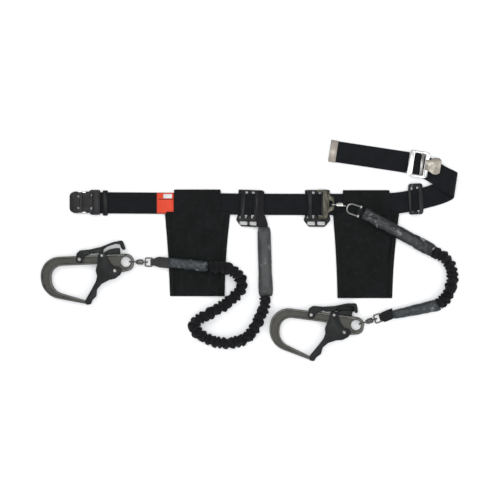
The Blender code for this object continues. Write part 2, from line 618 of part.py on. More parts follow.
def make_right_lanyard():
    """Swivel and shackle on the D-plate, then the absorber in its cover and the end cover."""
    z, swivel_y = ANCHOR_Z, 104.8
    at = (195.6, swivel_y, 0.0)
    ring = [(ANCHOR_RING * math.cos(a), 0.0, z + ANCHOR_RING * math.sin(a))
            for a in (math.tau * i / 16 for i in range(16))]
    anchor = add_object("anchor_ring", loop_mesh(ring, 1.3, True), "steel", at)
    join(anchor, cylinder_mesh((8.2, 0, z), 3.6, 4.0, (1, 0, 0)), at)
    barrel = rod("anchor_barrel", (16.0, 0, z), 4.6, 11.0, (1, 0, 0), "steel", at)
    eye = [(25.0 + 3.8 * math.cos(a), -3.0, z + 3.8 * math.sin(a))
           for a in (math.tau * i / 14 for i in range(14))]
    join(barrel, loop_mesh(eye, 1.3, True), at)
    join(barrel, cylinder_mesh((21.0, -1.8, z), 2.4, 5.0, (1, -0.35, 0)), at)
    at = (254.7, 89.0, -19.0)
    bow = [(2.0, 11.5, z), (-18.0, 11.5, z), (-25.0, 9.0, z), (-28.5, 4.0, z), (-28.5, -4.0, z),
           (-25.0, -9.0, z), (-18.0, -11.5, z), (2.0, -11.5, z)]
    shackle = add_object("shackle", loop_mesh(smooth_path(bow, 2), 2.1, False), "steel", at)
    for y in (-11.5, 11.5):
        join(shackle, cylinder_mesh((2.0, y, z), 3.6, 5.0, (0, 1, 0)), at)
    rod("shackle_pin", (2.0, 0, z), 1.9, 17.6, (0, 1, 0), "steel", at)
    make_cover("right_absorber_cover", (346.5, 40.7), 183.5, 35.0, -28.8, 10.2, 26.2, 0.92,
               "cover_vinyl")
    strap = [Vector((2.0 + 5.0 * math.cos(math.radians(a)), z + 5.0 * math.sin(math.radians(a))))
             for a in range(90, 271, 20)]
    strap += [Vector((10.0, z - 3.2)), Vector((10.0, z + 3.2))]
    profile_bar("right_top_loop", [strap, circle(2.0, z, 2.4, 12)], -8.0, 8.0, "webbing", at)
    make_cover("right_end_cover", (385.0, -142.0), 104.0, 31.0, 12.2, 1.2, 21.0, 0.72,
               "cover_vinyl")


def place_in_frame():
    """Parent every piece to one empty, which carries the object to its origin."""
    frame = bpy.data.objects.new("belt_frame", None)
    PARTS.objects.link(frame)
    frame.location = (ORIGIN_X * MM, ORIGIN_Y * MM, ORIGIN_Z * MM)
    for made in list(PARTS.objects) + list(CUTTERS.objects):
        if made is not frame:
            made.parent = frame


def build():
    make_belt()
    make_belt_end_tip()
    make_buckle()
    make_keeper()
    make_label()
    make_hanger("left_hanger", HANGER_LEFT_AT)
    make_hanger("right_hanger", HANGER_RIGHT_AT)
    make_d_plate()
    make_stopper()
    make_adjuster()
    for side, reach, rise in (("left", 37.6, 7.0), ("right", 26.0, 0.5)):
        make_pouch(side)
        make_hook(side)
        make_chain(side)
        make_bungee(side)
        strap_round_link(side + "_end_strap", (*HOOKS[side]["eye"], HOOKS[side]["chain"]),
                         reach, rise)
    make_left_lanyard()
    make_right_lanyard()
    place_in_frame()


build()
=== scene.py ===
"""Waist belt with two shock-absorbing lanyards, large hooks and two pouches, lying flat.

Drawing lengths are millimetres with the belt along X and the buckle end at -X; spot() turns them
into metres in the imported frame.
"""

import math

import bmesh
import bpy
from mathutils import Matrix, Vector, geometry, noise


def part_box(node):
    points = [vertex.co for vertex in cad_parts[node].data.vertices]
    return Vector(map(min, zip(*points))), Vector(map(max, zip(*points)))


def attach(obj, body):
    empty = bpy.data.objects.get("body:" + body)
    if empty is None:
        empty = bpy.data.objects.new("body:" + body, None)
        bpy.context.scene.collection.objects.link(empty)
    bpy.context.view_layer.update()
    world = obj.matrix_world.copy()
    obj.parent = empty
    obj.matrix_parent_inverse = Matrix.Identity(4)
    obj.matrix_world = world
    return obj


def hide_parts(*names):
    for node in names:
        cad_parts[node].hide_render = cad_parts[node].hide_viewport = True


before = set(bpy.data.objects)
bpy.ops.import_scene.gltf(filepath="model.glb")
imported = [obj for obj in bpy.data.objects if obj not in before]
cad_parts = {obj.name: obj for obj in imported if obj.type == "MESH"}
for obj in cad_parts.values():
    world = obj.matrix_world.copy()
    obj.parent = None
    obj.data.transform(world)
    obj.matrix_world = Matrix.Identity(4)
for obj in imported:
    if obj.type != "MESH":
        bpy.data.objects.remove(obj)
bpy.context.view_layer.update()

MM = 0.001
ORIGIN = Vector((1.6, 1.7, -0.3))          # the drawing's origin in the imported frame, mm
VIEW_CENTRE = (0.0016, 0.0005)
VIEW_WIDTH = 1.175                         # metres across the photograph
CAMERA_HEIGHT = 3.0
SENSOR = 36.0
FLOOR_GAP = 0.0004
FLOOR_HALF = 4.0
WORLD_COLOUR, WORLD_STRENGTH = (0.95, 0.97, 1.0, 1.0), 0.72
LIGHTS = (                                 # name, place and size in metres, watts
    ("overhead", (0.0, 0.0, 3.7), (1.9, 1.9), 52.0),
    ("key", (-1.1, 1.5, 2.3), (1.6, 1.0), 20.0),
    ("fill", (1.9, -0.9, 1.9), (1.4, 1.4), 12.0),
    ("rim", (0.3, -2.2, 1.1), (2.0, 0.5), 12.0),
)
UP = Vector((0, 0, 1))


def spot(x, y, z):
    """Point in metres from a drawing point in mm."""
    return (Vector((x, y, z)) + ORIGIN) * MM


# ---------------------------------------------------------------- camera, floor and lights
def make_camera():
    data = bpy.data.cameras.new("camera")
    data.sensor_width = SENSOR
    data.lens = SENSOR * CAMERA_HEIGHT / VIEW_WIDTH
    camera = bpy.data.objects.new("camera", data)
    bpy.context.scene.collection.objects.link(camera)
    camera.location = (*VIEW_CENTRE, CAMERA_HEIGHT)
    bpy.context.scene.camera = camera


def make_light(name, place, size, power):
    data = bpy.data.lights.new(name, "AREA")
    data.shape = "RECTANGLE"
    data.size, data.size_y = size
    data.energy = power
    light = bpy.data.objects.new(name, data)
    bpy.context.scene.collection.objects.link(light)
    light.location = place
    light.rotation_euler = (-Vector(place)).to_track_quat("-Z", "Y").to_euler()


def make_studio():
    mesh = bpy.data.meshes.new("floor")
    work = bmesh.new()
    bmesh.ops.create_grid(work, x_segments=1, y_segments=1, size=FLOOR_HALF)
    work.to_mesh(mesh)
    work.free()
    floor = bpy.data.objects.new("floor", mesh)
    bpy.context.scene.collection.objects.link(floor)
    floor.location.z = -FLOOR_GAP
    mesh.materials.append(floor_finish())
    world = bpy.data.worlds.new("studio")
    bpy.context.scene.world = world
    world.use_nodes = True
    background = world.node_tree.nodes["Background"]
    background.inputs["Color"].default_value = WORLD_COLOUR
    background.inputs["Strength"].default_value = WORLD_STRENGTH
    bpy.context.scene.view_settings.view_transform = "Standard"
    for light in LIGHTS:
        make_light(*light)


# ---------------------------------------------------------------- shader nodes
def node(tree, kind, inputs=None, **settings):
    """Shader node with its settings and its inputs, each a value or another node's socket."""
    made = tree.nodes.new("ShaderNode" + kind)
    for name, value in settings.items():
        setattr(made, name, value)
    for key, value in (inputs or {}).items():
        if isinstance(value, bpy.types.NodeSocket):
            tree.links.new(value, made.inputs[key])
        else:
            made.inputs[key].default_value = value
    return made


def start_finish(name):
    made = bpy.data.materials.new(name)
    made.use_nodes = True
    tree = made.node_tree
    return made, tree, tree.nodes["Principled BSDF"]


def noise_field(tree, where, scale, detail, **more):
    """Plain noise at a scale per metre."""
    return node(tree, "TexNoise", {"Vector": where, "Scale": scale, "Detail": detail, **more}
                ).outputs["Fac"]


def widen(tree, value, low, high):
    """Stretches a value so that low..high becomes 0..1."""
    return node(tree, "MapRange", {"Value": value, "From Min": low, "From Max": high}
                ).outputs["Result"]


def noise_mask(tree, where, scale, low, high, detail=4.0):
    """Noise at a scale per metre, stretched so that low..high becomes 0..1."""
    return widen(tree, noise_field(tree, where, scale, detail), low, high)


def mapped(tree, where, scale, turn):
    """Place scaled by x, y and z and turned about the vertical, for long narrow marks."""
    return node(tree, "Mapping", {"Vector": where, "Scale": scale,
                                  "Rotation": (0.0, 0.0, turn)}).outputs["Vector"]


def mix(tree, share, first, second):
    """Colour mix; first and second are colours or sockets."""
    first = (*first, 1.0) if isinstance(first, tuple) else first
    second = (*second, 1.0) if isinstance(second, tuple) else second
    return node(tree, "Mix", {0: share, 6: first, 7: second}, data_type="RGBA").outputs[2]


def span(tree, share, low, high):
    return node(tree, "MapRange", {"Value": share, "To Min": low, "To Max": high}
                ).outputs["Result"]


def bump(tree, height, distance, strength=1.0, under=None):
    made = node(tree, "Bump", {"Height": height, "Distance": distance, "Strength": strength})
    if under is not None:
        tree.links.new(under, made.inputs["Normal"])
    return made.outputs["Normal"]


def combine(tree, operation, first, second):
    return node(tree, "Math", {0: first, 1: second}, operation=operation).outputs[0]


def times(tree, first, second):
    return combine(tree, "MULTIPLY", first, second)


def wave(tree, length, pitch):
    """Sine of a length, with one turn to a pitch."""
    return node(tree, "Math", {0: times(tree, length, math.tau / pitch)}, operation="SINE"
                ).outputs[0]


def paint(tree, shader, tone, rough, normal, constants):
    """Links colour, roughness and normal, and sets the constants on their own sockets."""
    for name, socket in (("Base Color", tone), ("Roughness", rough), ("Normal", normal)):
        tree.links.new(socket, shader.inputs[name])
    for name, value in constants.items():
        shader.inputs[name].default_value = value


def floor_finish():
    made, tree, shader = start_finish("floor")
    where = node(tree, "TexCoord").outputs["Object"]
    mask = noise_mask(tree, where, 3.0, 0.3, 0.7)
    tree.links.new(mix(tree, mask, (0.90, 0.90, 0.90), (0.93, 0.93, 0.93)),
                   shader.inputs["Base Color"])
    shader.inputs["Roughness"].default_value = 0.8
    return made


def weave_finish(name, colour, light, pitch_along, pitch_across, roughness=0.85, sheen=0.05,
                 rib=0.0):
    """Woven strap: crossing threads from the strap's own run, with worn lighter patches."""
    made, tree, shader = start_finish(name)
    run = node(tree, "UVMap", uv_map="run").outputs["UV"]
    where = node(tree, "TexCoord").outputs["Object"]
    split = node(tree, "SeparateXYZ", {"Vector": run})
    along, across = split.outputs["X"], split.outputs["Y"]
    warp = wave(tree, across, pitch_across)
    turns = combine(tree, "ADD", times(tree, along, math.tau / pitch_along),
                    times(tree, warp, 1.6))
    weft = node(tree, "Math", {0: turns}, operation="SINE").outputs[0]
    threads = times(tree, combine(tree, "ADD", warp, 1.4), combine(tree, "ADD", weft, 1.4))
    height = times(tree, threads, 0.17)
    if rib:
        height = combine(tree, "ADD", height, times(tree, wave(tree, across, rib), 0.16))
    patches = noise_mask(tree, where, 45.0, 0.42, 0.72)
    fibre = noise_mask(tree, where, 1400.0, 0.35, 0.75, 2.0)
    tone = mix(tree, times(tree, height, 0.75), colour, light)
    tone = mix(tree, times(tree, patches, 0.35), tone, light)
    paint(tree, shader, tone, span(tree, fibre, roughness - 0.12, roughness),
          bump(tree, height, 0.00045, 0.8, bump(tree, fibre, 0.0002, 0.35)),
          {"Sheen Weight": sheen, "Sheen Roughness": 0.5, "Specular IOR Level": 0.12})
    return made


CLOTH_PITCH = 0.0011                       # metres from thread to thread


def cloth_finish(name, colour, light, roughness=0.7):
    """Plain-weave coated cloth: fine crossing threads, soft folds and rubbed patches."""
    made, tree, shader = start_finish(name)
    where = node(tree, "TexCoord").outputs["Object"]
    split = node(tree, "SeparateXYZ", {"Vector": where})
    over, under = (wave(tree, split.outputs[axis], CLOTH_PITCH) for axis in "XY")
    weave = span(tree, times(tree, over, under), 0.0, 1.0)
    folds = noise_mask(tree, where, 26.0, 0.3, 0.72, 3.0)
    rubbed = noise_mask(tree, where, 90.0, 0.5, 0.8, 6.0)
    grain = noise_mask(tree, where, 1800.0, 0.35, 0.7, 2.0)
    tone = mix(tree, times(tree, folds, 0.55), colour, light)
    tone = mix(tree, times(tree, rubbed, 0.3), tone, tuple(c * 1.5 for c in light))
    tone = mix(tree, times(tree, weave, 0.25), tone, light)
    first = bump(tree, weave, 0.0003, 0.6, bump(tree, grain, 0.0002, 0.3))
    paint(tree, shader, tone, span(tree, rubbed, roughness, roughness - 0.18),
          bump(tree, folds, 0.003, 0.35, first),
          {"Sheen Weight": 0.04, "Specular IOR Level": 0.10})
    return made


def plastic_finish(name, colour, light, roughness=0.42, grain=900.0):
    """Moulded plastic with a fine spark-eroded grain, handling marks and faint scuffs."""
    made, tree, shader = start_finish(name)
    where = node(tree, "TexCoord").outputs["Object"]
    pores = noise_mask(tree, where, grain, 0.35, 0.65, 3.0)
    marks = noise_mask(tree, where, 60.0, 0.4, 0.7, 6.0)
    scuff = noise_mask(tree, mapped(tree, where, (260.0, 30.0, 120.0), 0.6), 1.0, 0.62, 0.74, 3.0)
    tone = mix(tree, times(tree, marks, 0.6), colour, light)
    tone = mix(tree, times(tree, scuff, 0.35), tone, tuple(min(c * 2.2, 1.0) for c in light))
    paint(tree, shader, tone, span(tree, marks, roughness - 0.08, roughness + 0.12),
          bump(tree, pores, 0.00012, 0.5), {"Specular IOR Level": 0.22})
    return made


def metal_finish(name, colour, worn, roughness, metallic=1.0, brushed=False, cast=0.0):
    """Metal with stains, fine scratches and, where cast, a pebbled blasted skin."""
    made, tree, shader = start_finish(name)
    where = node(tree, "TexCoord").outputs["Object"]
    stain = noise_mask(tree, where, 70.0, 0.35, 0.7, 6.0)
    scale = (60.0, 1500.0, 300.0) if brushed else (500.0, 420.0, 500.0)
    lines = noise_field(tree, mapped(tree, where, scale, 0.3), 1.0, 4.0)
    rough = combine(tree, "ADD", span(tree, stain, roughness - 0.05, roughness + 0.1),
                    times(tree, combine(tree, "SUBTRACT", lines, 0.5), 0.25))
    normal = bump(tree, lines, 0.00008, 0.35)
    if cast:
        pebbles = node(tree, "TexVoronoi", {"Vector": where, "Scale": 700.0}
                       ).outputs["Distance"]
        normal = bump(tree, pebbles, cast, 0.5, normal)
    paint(tree, shader, mix(tree, stain, colour, worn), rough, normal, {"Metallic": metallic})
    return made


def vinyl_finish(name, colour, light, glint, roughness, fold_scale, start, coat):
    """Heat-shrunk film over webbing: dark below, with thin painted highlights in the glint colour,
    laid in sparse streaks along its creases.
    """
    made, tree, shader = start_finish(name)
    where = node(tree, "TexCoord").outputs["Object"]
    drift = node(tree, "TexNoise", {"Vector": where, "Scale": 24.0, "Detail": 2.0})
    shift = node(tree, "VectorMath", {0: drift.outputs["Color"], "Scale": 0.05},
                 operation="SCALE").outputs["Vector"]
    warped = node(tree, "VectorMath", {0: where, 1: shift}, operation="ADD").outputs["Vector"]
    field = noise_field(tree, warped, fold_scale, 3.0, Distortion=0.6)
    off_ridge = node(tree, "Math", {0: combine(tree, "SUBTRACT", field, 0.5)},
                     operation="ABSOLUTE").outputs[0]
    ridge = combine(tree, "SUBTRACT", 1.0, times(tree, off_ridge, 9.0))
    sparse = noise_mask(tree, where, 38.0, start - 0.04, start + 0.08, 2.0)
    fine = noise_mask(tree, warped, 330.0, 0.4, 0.75, 5.0)
    broad = noise_mask(tree, where, 26.0, 0.35, 0.7, 4.0)
    # painted highlight: the glint colour laid in thin sparse streaks on the crease ridges
    painted_glint = node(tree, "Math", {0: times(tree, ridge, sparse), 1: 0.85},
                  operation="MULTIPLY", use_clamp=True).outputs[0]
    tone = mix(tree, times(tree, broad, 0.8), colour, light)
    paint(tree, shader, mix(tree, painted_glint, tone, glint),
          span(tree, fine, roughness, roughness + 0.2),
          bump(tree, field, 0.006, 0.5, bump(tree, fine, 0.0004, 0.4)),
          {"Specular IOR Level": 0.3, "Coat Weight": coat, "Coat Roughness": 0.2})
    return made


FINISH = {
    "belt": weave_finish("belt_web", (0.0025, 0.003, 0.0038), (0.0095, 0.011, 0.014), 0.0016,
                         0.0024, rib=0.0085),
    "strap": weave_finish("strap_web", (0.005, 0.005, 0.0055), (0.020, 0.020, 0.022), 0.0012,
                          0.0016),
    "satin": weave_finish("satin_strap", (0.010, 0.0095, 0.0095), (0.060, 0.057, 0.055), 0.0012,
                          0.0016, 0.5, 0.1),
    "thread": weave_finish("thread", (0.010, 0.010, 0.011), (0.03, 0.03, 0.033), 0.0008, 0.0006),
    "pouch": cloth_finish("pouch_cloth_weave", (0.0022, 0.0030, 0.0030), (0.0070, 0.0088, 0.0088)),
    "binding": weave_finish("binding_tape", (0.002, 0.0025, 0.0025), (0.009, 0.0105, 0.0105), 0.001,
                            0.0014),
    "plastic": plastic_finish("moulded_plastic", (0.0035, 0.0036, 0.004), (0.010, 0.010, 0.0115)),
    "gate": plastic_finish("coated_gate", (0.0018, 0.0026, 0.0027), (0.0042, 0.0058, 0.006), 0.5,
                           600.0),
    "alloy": metal_finish("forged_alloy", (0.040, 0.039, 0.035), (0.066, 0.064, 0.058), 0.5, 0.85,
                          cast=0.0002),
    # painted highlight: the raised rims of each hook get a lighter copy of the alloy colour; their
    # lower roughness is their polish
    "rim": metal_finish("highlit_rim_alloy", (0.055, 0.055, 0.051), (0.105, 0.104, 0.097), 0.42, 0.9),
    "bright": metal_finish("bright_steel", (0.86, 0.86, 0.85), (0.66, 0.65, 0.63), 0.14, 1.0),
    "steel": metal_finish("plain_steel", (0.34, 0.33, 0.315), (0.20, 0.19, 0.18), 0.30, 1.0,
                          brushed=True),
    "stud": metal_finish("rivet_steel", (0.66, 0.65, 0.62), (0.42, 0.41, 0.39), 0.24, 1.0),
    "rivet": metal_finish("worn_rivet", (0.28, 0.275, 0.26), (0.17, 0.165, 0.16), 0.38, 1.0),
    "zinc": metal_finish("zinc_plate", (0.088, 0.085, 0.064), (0.048, 0.046, 0.035), 0.4, 0.85),
    "tongue": metal_finish("tongue_steel", (0.37, 0.34, 0.29), (0.24, 0.22, 0.185), 0.36, 0.85),
    "dark_steel": metal_finish("dark_steel_wire", (0.12, 0.118, 0.11), (0.055, 0.053, 0.05),
                               0.34, 0.95),
    "clamp": metal_finish("end_clamp_metal", (0.34, 0.30, 0.26), (0.235, 0.205, 0.175), 0.45,
                          0.4),
    "label": weave_finish("label_woven", (0.58, 0.050, 0.022), (0.80, 0.10, 0.055), 0.0009,
                          0.0009, 0.75, 0.03),
    "label_white": weave_finish("label_white_woven", (0.55, 0.55, 0.53), (0.8, 0.8, 0.79),
                                0.0009, 0.0009, 0.75, 0.03),
    # painted highlight: the third colour of each film below is its glint
    "clear_vinyl": vinyl_finish("clear_film", (0.0045, 0.0056, 0.006), (0.013, 0.0155, 0.0165),
                                (0.42, 0.44, 0.46), 0.34, 62.0, 0.62, 0.12),
    "grey_vinyl": vinyl_finish("grey_film", (0.024, 0.0255, 0.0255), (0.040, 0.042, 0.042),
                               (0.12, 0.125, 0.13), 0.42, 40.0, 0.64, 0.06),
    "pale_vinyl": vinyl_finish("slate_film", (0.010, 0.0135, 0.0155), (0.021, 0.027, 0.031),
                               (0.15, 0.17, 0.18), 0.36, 55.0, 0.60, 0.1),
    "bungee": cloth_finish("gathered_tube", (0.0035, 0.0035, 0.004), (0.012, 0.012, 0.014), 0.78),
}


# ---------------------------------------------------------------- mesh helpers
def add_piece(name, mesh, finish, body, stands_for=()):
    """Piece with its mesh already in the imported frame, riding on a CAD body."""
    made = bpy.data.objects.new(name, mesh)
    bpy.context.scene.collection.objects.link(made)
    for key in ([finish] if isinstance(finish, str) else finish):
        mesh.materials.append(FINISH[key])
    mesh.shade_smooth()
    if stands_for:
        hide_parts(*stands_for)
    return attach(made, body)


def skin(work, rings, caps=True):
    """Faces between neighbouring rings of vertices and, with caps, over both ends."""
    sides = len(rings[0])
    faces = [work.faces.new((near[i], near[(i + 1) % sides], far[(i + 1) % sides], far[i]))
             for near, far in zip(rings, rings[1:]) for i in range(sides)]
    if caps:
        faces += [work.faces.new(rings[0]), work.faces.new(rings[-1])]
    return faces


def finish_mesh(work, name):
    """Closes a bmesh into a named mesh, its normals facing out."""
    bmesh.ops.recalc_face_normals(work, faces=work.faces)
    mesh = bpy.data.meshes.new(name)
    work.to_mesh(mesh)
    work.free()
    return mesh


def apply_modifiers(mesh, build):
    """Mesh with the modifiers that build adds applied."""
    holder = bpy.data.objects.new("holder", mesh)
    bpy.context.scene.collection.objects.link(holder)
    build(holder)
    bpy.context.view_layer.update()
    made = bpy.data.meshes.new_from_object(
        holder.evaluated_get(bpy.context.evaluated_depsgraph_get()))
    bpy.data.objects.remove(holder, do_unlink=True)
    return made


def subdivide(mesh):
    def build(holder):
        change = holder.modifiers.new("smooth", "SUBSURF")
        change.levels = change.render_levels = 1
    return apply_modifiers(mesh, build)


def smooth_path(points, steps):
    """Catmull-Rom curve through the points, steps to a span."""
    guides = [Vector(p) for p in points]
    guides = [guides[0] * 2 - guides[1], *guides, guides[-1] * 2 - guides[-2]]
    path = []
    for index in range(1, len(guides) - 2):
        p0, p1, p2, p3 = guides[index - 1:index + 3]
        for step in range(steps):
            t = step / steps
            path.append(0.5 * (2 * p1 + (p2 - p0) * t + (2 * p0 - 5 * p1 + 4 * p2 - p3) * t * t
                               + (3 * p1 - p0 - 3 * p2 + p3) * t * t * t))
    path.append(guides[-2])
    return path


SELVEDGE = 1.2                             # mm over which a strap's edge thins


def ribbon(name, left, right, thick, columns=20, lines=0.0, line_height=0.0):
    """Strap between two edge paths in mm, with rounded selvedges and a run of its own as UV."""
    work = bmesh.new()
    layer = work.loops.layers.uv.new("run")
    count = len(left)
    wide = (right[count // 2] - left[count // 2]).length
    rings, travel, reach = [], [0.0], 0.0
    for index in range(count):
        ahead, behind = min(index + 1, count - 1), max(index - 1, 0)
        along = (left[ahead] + right[ahead]) - (left[behind] + right[behind])
        if index:
            reach += ((left[index] + right[index]) - (left[index - 1] + right[index - 1])
                      ).length / 2.0
            travel.append(reach)
        normal = (right[index] - left[index]).cross(along).normalized()
        ring = []
        for side in (1, -1):
            for step in range(columns + 1):
                share = step / columns if side > 0 else 1.0 - step / columns
                edge = min(1.0, min(share, 1.0 - share) * wide / SELVEDGE)
                rise = thick / 2.0 * (0.45 + 0.55 * edge)
                place = left[index].lerp(right[index], share)
                if lines:
                    rise += line_height * math.cos(math.tau * share * wide / lines)
                ring.append(work.verts.new((place + normal * side * rise + ORIGIN) * MM))
        rings.append(ring)
    sides = len(rings[0])
    for index, (near, far) in enumerate(zip(rings, rings[1:])):
        for side in range(sides):
            after = (side + 1) % sides
            face = work.faces.new((near[side], near[after], far[after], far[side]))
            steps = [(index, side), (index, after), (index + 1, after), (index + 1, side)]
            for loop, (i, j) in zip(face.loops, steps):
                across = j if j <= columns else 2 * columns + 1 - j
                loop[layer].uv = (travel[i] * MM, across / columns * wide * MM)
    for ring in (rings[0], rings[-1]):
        for step in range(columns):
            work.faces.new((ring[step], ring[step + 1], ring[sides - 2 - step],
                            ring[sides - 1 - step]))
    return finish_mesh(work, name)


def bent_strap(name, path, x0, x1, thick, steps, columns):
    """Strap whose centreline (y, z) bends in a vertical plane, spanning x0 to x1."""
    left, right = (smooth_path([(x, y, z) for y, z in path], steps) for x in (x0, x1))
    return ribbon(name, left, right, thick, columns)


STITCH_LIFT = Vector((0, 0, 0.25))         # mm from the cloth to a thread's middle


def stitches(name, points, body, pitch=3.4, radius=0.32):
    """Row of lock stitches along points in mm, each a short domed thread."""
    path = smooth_path(points, 6) if len(points) > 2 else [Vector(p) for p in points]
    work = bmesh.new()
    layer = work.loops.layers.uv.new("run")
    carry = 0.0
    for start, end in zip(path, path[1:]):
        length = (end - start).length
        along = (end - start) / length
        turn = Vector((1, 0, 0)).rotation_difference(along).to_matrix().to_4x4()
        at = pitch - carry
        while at <= length:
            place = (start + along * at + ORIGIN + STITCH_LIFT) * MM
            shape = Matrix.Translation(place) @ turn @ Matrix.Diagonal(
                (pitch * 0.36 * MM, radius * MM, radius * 0.8 * MM, 1.0))
            made = bmesh.ops.create_uvsphere(work, u_segments=6, v_segments=5, radius=1.0,
                                             matrix=shape)
            for face in {f for v in made["verts"] for f in v.link_faces}:
                for loop in face.loops:
                    loop[layer].uv = (loop.vert.co.x, loop.vert.co.y)
            at += pitch
        carry = (carry + length) % pitch
    return add_piece(name, finish_mesh(work, name), "thread", body)


def rounded_copy(node_name, width, segments, angle, harden=False):
    """CAD node's shape with its flat faces merged and its hard edges rounded by width mm."""
    work = bmesh.new()
    work.from_mesh(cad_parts[node_name].data)
    bmesh.ops.remove_doubles(work, verts=work.verts, dist=2e-6)
    bmesh.ops.dissolve_limit(work, angle_limit=math.radians(0.6), verts=work.verts,
                             edges=work.edges)

    def build(holder):
        change = holder.modifiers.new("edge", "BEVEL")
        change.width = width * MM
        change.segments = segments
        change.limit_method = "ANGLE"
        change.angle_limit = math.radians(angle)
        change.harden_normals = harden
    made = apply_modifiers(finish_mesh(work, node_name), build)
    made.polygons.foreach_set("material_index", [0] * len(made.polygons))
    return made


def softened(node_name, body, finish, width=0.6):
    """Piece with the shape of a CAD node and rounded edges."""
    add_piece(node_name + "_formed", rounded_copy(node_name, width, 2, 32.0, True), finish, body,
              (node_name,))


def turned(centre, direction, profile, sides=32):
    """Closed turned shape as a bmesh; profile is (distance along, radius) in mm."""
    turn = UP.rotation_difference(Vector(direction)).to_matrix().to_4x4()
    place = Matrix.Translation(centre) @ turn
    work = bmesh.new()
    skin(work, [[work.verts.new(place @ Vector((r * MM * math.cos(math.tau * i / sides),
                                                r * MM * math.sin(math.tau * i / sides), a * MM)))
                 for i in range(sides)] for a, r in profile])
    bmesh.ops.remove_doubles(work, verts=work.verts, dist=1e-7)
    return work


def rivet(node_name, body):
    """Domed rivet head with a shallow ring round its centre, in place of a CAD head."""
    low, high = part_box(node_name)
    centre = Vector(((low.x + high.x) / 2, (low.y + high.y) / 2, low.z))
    r = (high.x - low.x) / 2 / MM
    h = (high.z - low.z) / MM
    profile = [(0, 0), (0, r), (0.30 * h, r), (0.55 * h, 0.93 * r), (0.8 * h, 0.78 * r),
               (0.95 * h, 0.6 * r), (h, 0.5 * r), (0.86 * h, 0.44 * r), (0.80 * h, 0.3 * r),
               (0.84 * h, 0.12 * r), (0.85 * h, 0)]
    name = node_name + "_domed"
    add_piece(name, finish_mesh(turned(centre, UP, profile), name), "rivet", body,
              (node_name,))


def wire_mesh(points, radius, sides=14):
    """Closed loop of round wire through points in metres."""
    work = bmesh.new()
    count = len(points)
    rings = []
    lift = (points[1] - points[-1]).normalized().orthogonal().normalized()
    for index, point in enumerate(points):
        along = (points[(index + 1) % count] - points[index - 1]).normalized()
        lift = (lift - along * lift.dot(along)).normalized()
        side = along.cross(lift)
        rings.append([work.verts.new(point + (
            lift * math.cos(math.tau * i / sides) + side * math.sin(math.tau * i / sides))
            * radius * MM) for i in range(sides)])
    gaps = [(rings[-1][0].co - vertex.co).length for vertex in rings[0]]
    shift = gaps.index(min(gaps))
    skin(work, [*rings, rings[0][shift:] + rings[0][:shift]], False)
    return work


def fillet(corners, steps=5):
    """Closed outline through (x, y, radius) corners, each rounded with an arc."""
    outline = []
    count = len(corners)
    for index, (x, y, radius) in enumerate(corners):
        here = Vector((x, y))
        before = Vector(corners[index - 1][:2]) - here
        after = Vector(corners[(index + 1) % count][:2]) - here
        half = before.angle(after) / 2.0
        if radius <= 0.0 or half > math.radians(88.5):
            outline.append(here)
            continue
        reach = min(radius / math.tan(half), before.length * 0.49, after.length * 0.49)
        radius = reach * math.tan(half)
        start = here + before.normalized() * reach
        end = here + after.normalized() * reach
        centre = here + (before.normalized() + after.normalized()).normalized() * (
            radius / math.sin(half))
        first = start - centre
        sweep = first.angle_signed(end - centre)
        for step in range(steps + 1):
            turned_by = Matrix.Rotation(-sweep * step / steps, 2) @ first
            outline.append(centre + turned_by)
    return outline


def circle(x, y, radius, steps=20):
    return [Vector((x + radius * math.cos(math.tau * i / steps),
                    y + radius * math.sin(math.tau * i / steps))) for i in range(steps)]


def dense(outline, pitch):
    """Closed outline with extra points so that none of its spans is longer than pitch."""
    made = []
    for here, after in zip(outline, outline[1:] + outline[:1]):
        parts = max(1, math.ceil((after - here).length / pitch))
        made += [here.lerp(after, i / parts) for i in range(parts)]
    return made


def inward(outline):
    """Unit inward normals at an outline's points."""
    area = sum(a.x * b.y - b.x * a.y for a, b in zip(outline, outline[1:] + outline[:1]))
    way = 1.0 if area > 0.0 else -1.0
    made = []
    count = len(outline)
    for i in range(count):
        first = (outline[i] - outline[i - 1]).normalized()
        second = (outline[(i + 1) % count] - outline[i]).normalized()
        along = first + second
        along = first if along.length < 1e-6 else along.normalized()
        made.append(Vector((-along.y, along.x)) * way)
    return made


def inner_room(outline):
    """How far it is from each point straight in to the outline's other side, evened out."""
    count = len(outline)
    room = []
    for i, (here, normal) in enumerate(zip(outline, inward(outline))):
        nearest = 60.0
        for j in range(count):
            a, b = outline[j], outline[(j + 1) % count]
            if i in (j, (j + 1) % count):
                continue
            edge = b - a
            cross = normal.x * edge.y - normal.y * edge.x
            if abs(cross) < 1e-9:
                continue
            t = ((a - here).x * edge.y - (a - here).y * edge.x) / cross
            u = ((a - here).x * normal.y - (a - here).y * normal.x) / cross
            if t > 0.05 and 0.0 <= u <= 1.0:
                nearest = min(nearest, t)
        room.append(nearest)
    for _ in range(3):
        room = [min(room[i], (room[i - 1] + room[i] + room[(i + 1) % count]) / 3.0)
                for i in range(count)]
    return room


def offset_outline(outline, inset, room=None):
    return [here + normal * (min(inset, 0.38 * room[i]) if room else inset)
            for i, (here, normal) in enumerate(zip(outline, inward(outline)))]


def fill_between(work, ring, holes, finish=0):
    """Flat triangles between a ring of vertices and the rings of its holes."""
    loops = [ring, *holes]
    every = [v for loop in loops for v in loop]
    flat = [[Vector((v.co.x, v.co.y, 0.0)) for v in loop] for loop in loops]
    for corners in geometry.tessellate_polygon(flat):
        face = [every[i] for i in corners]
        if len(set(face)) == 3 and not work.faces.get(face):
            work.faces.new(face).material_index = finish


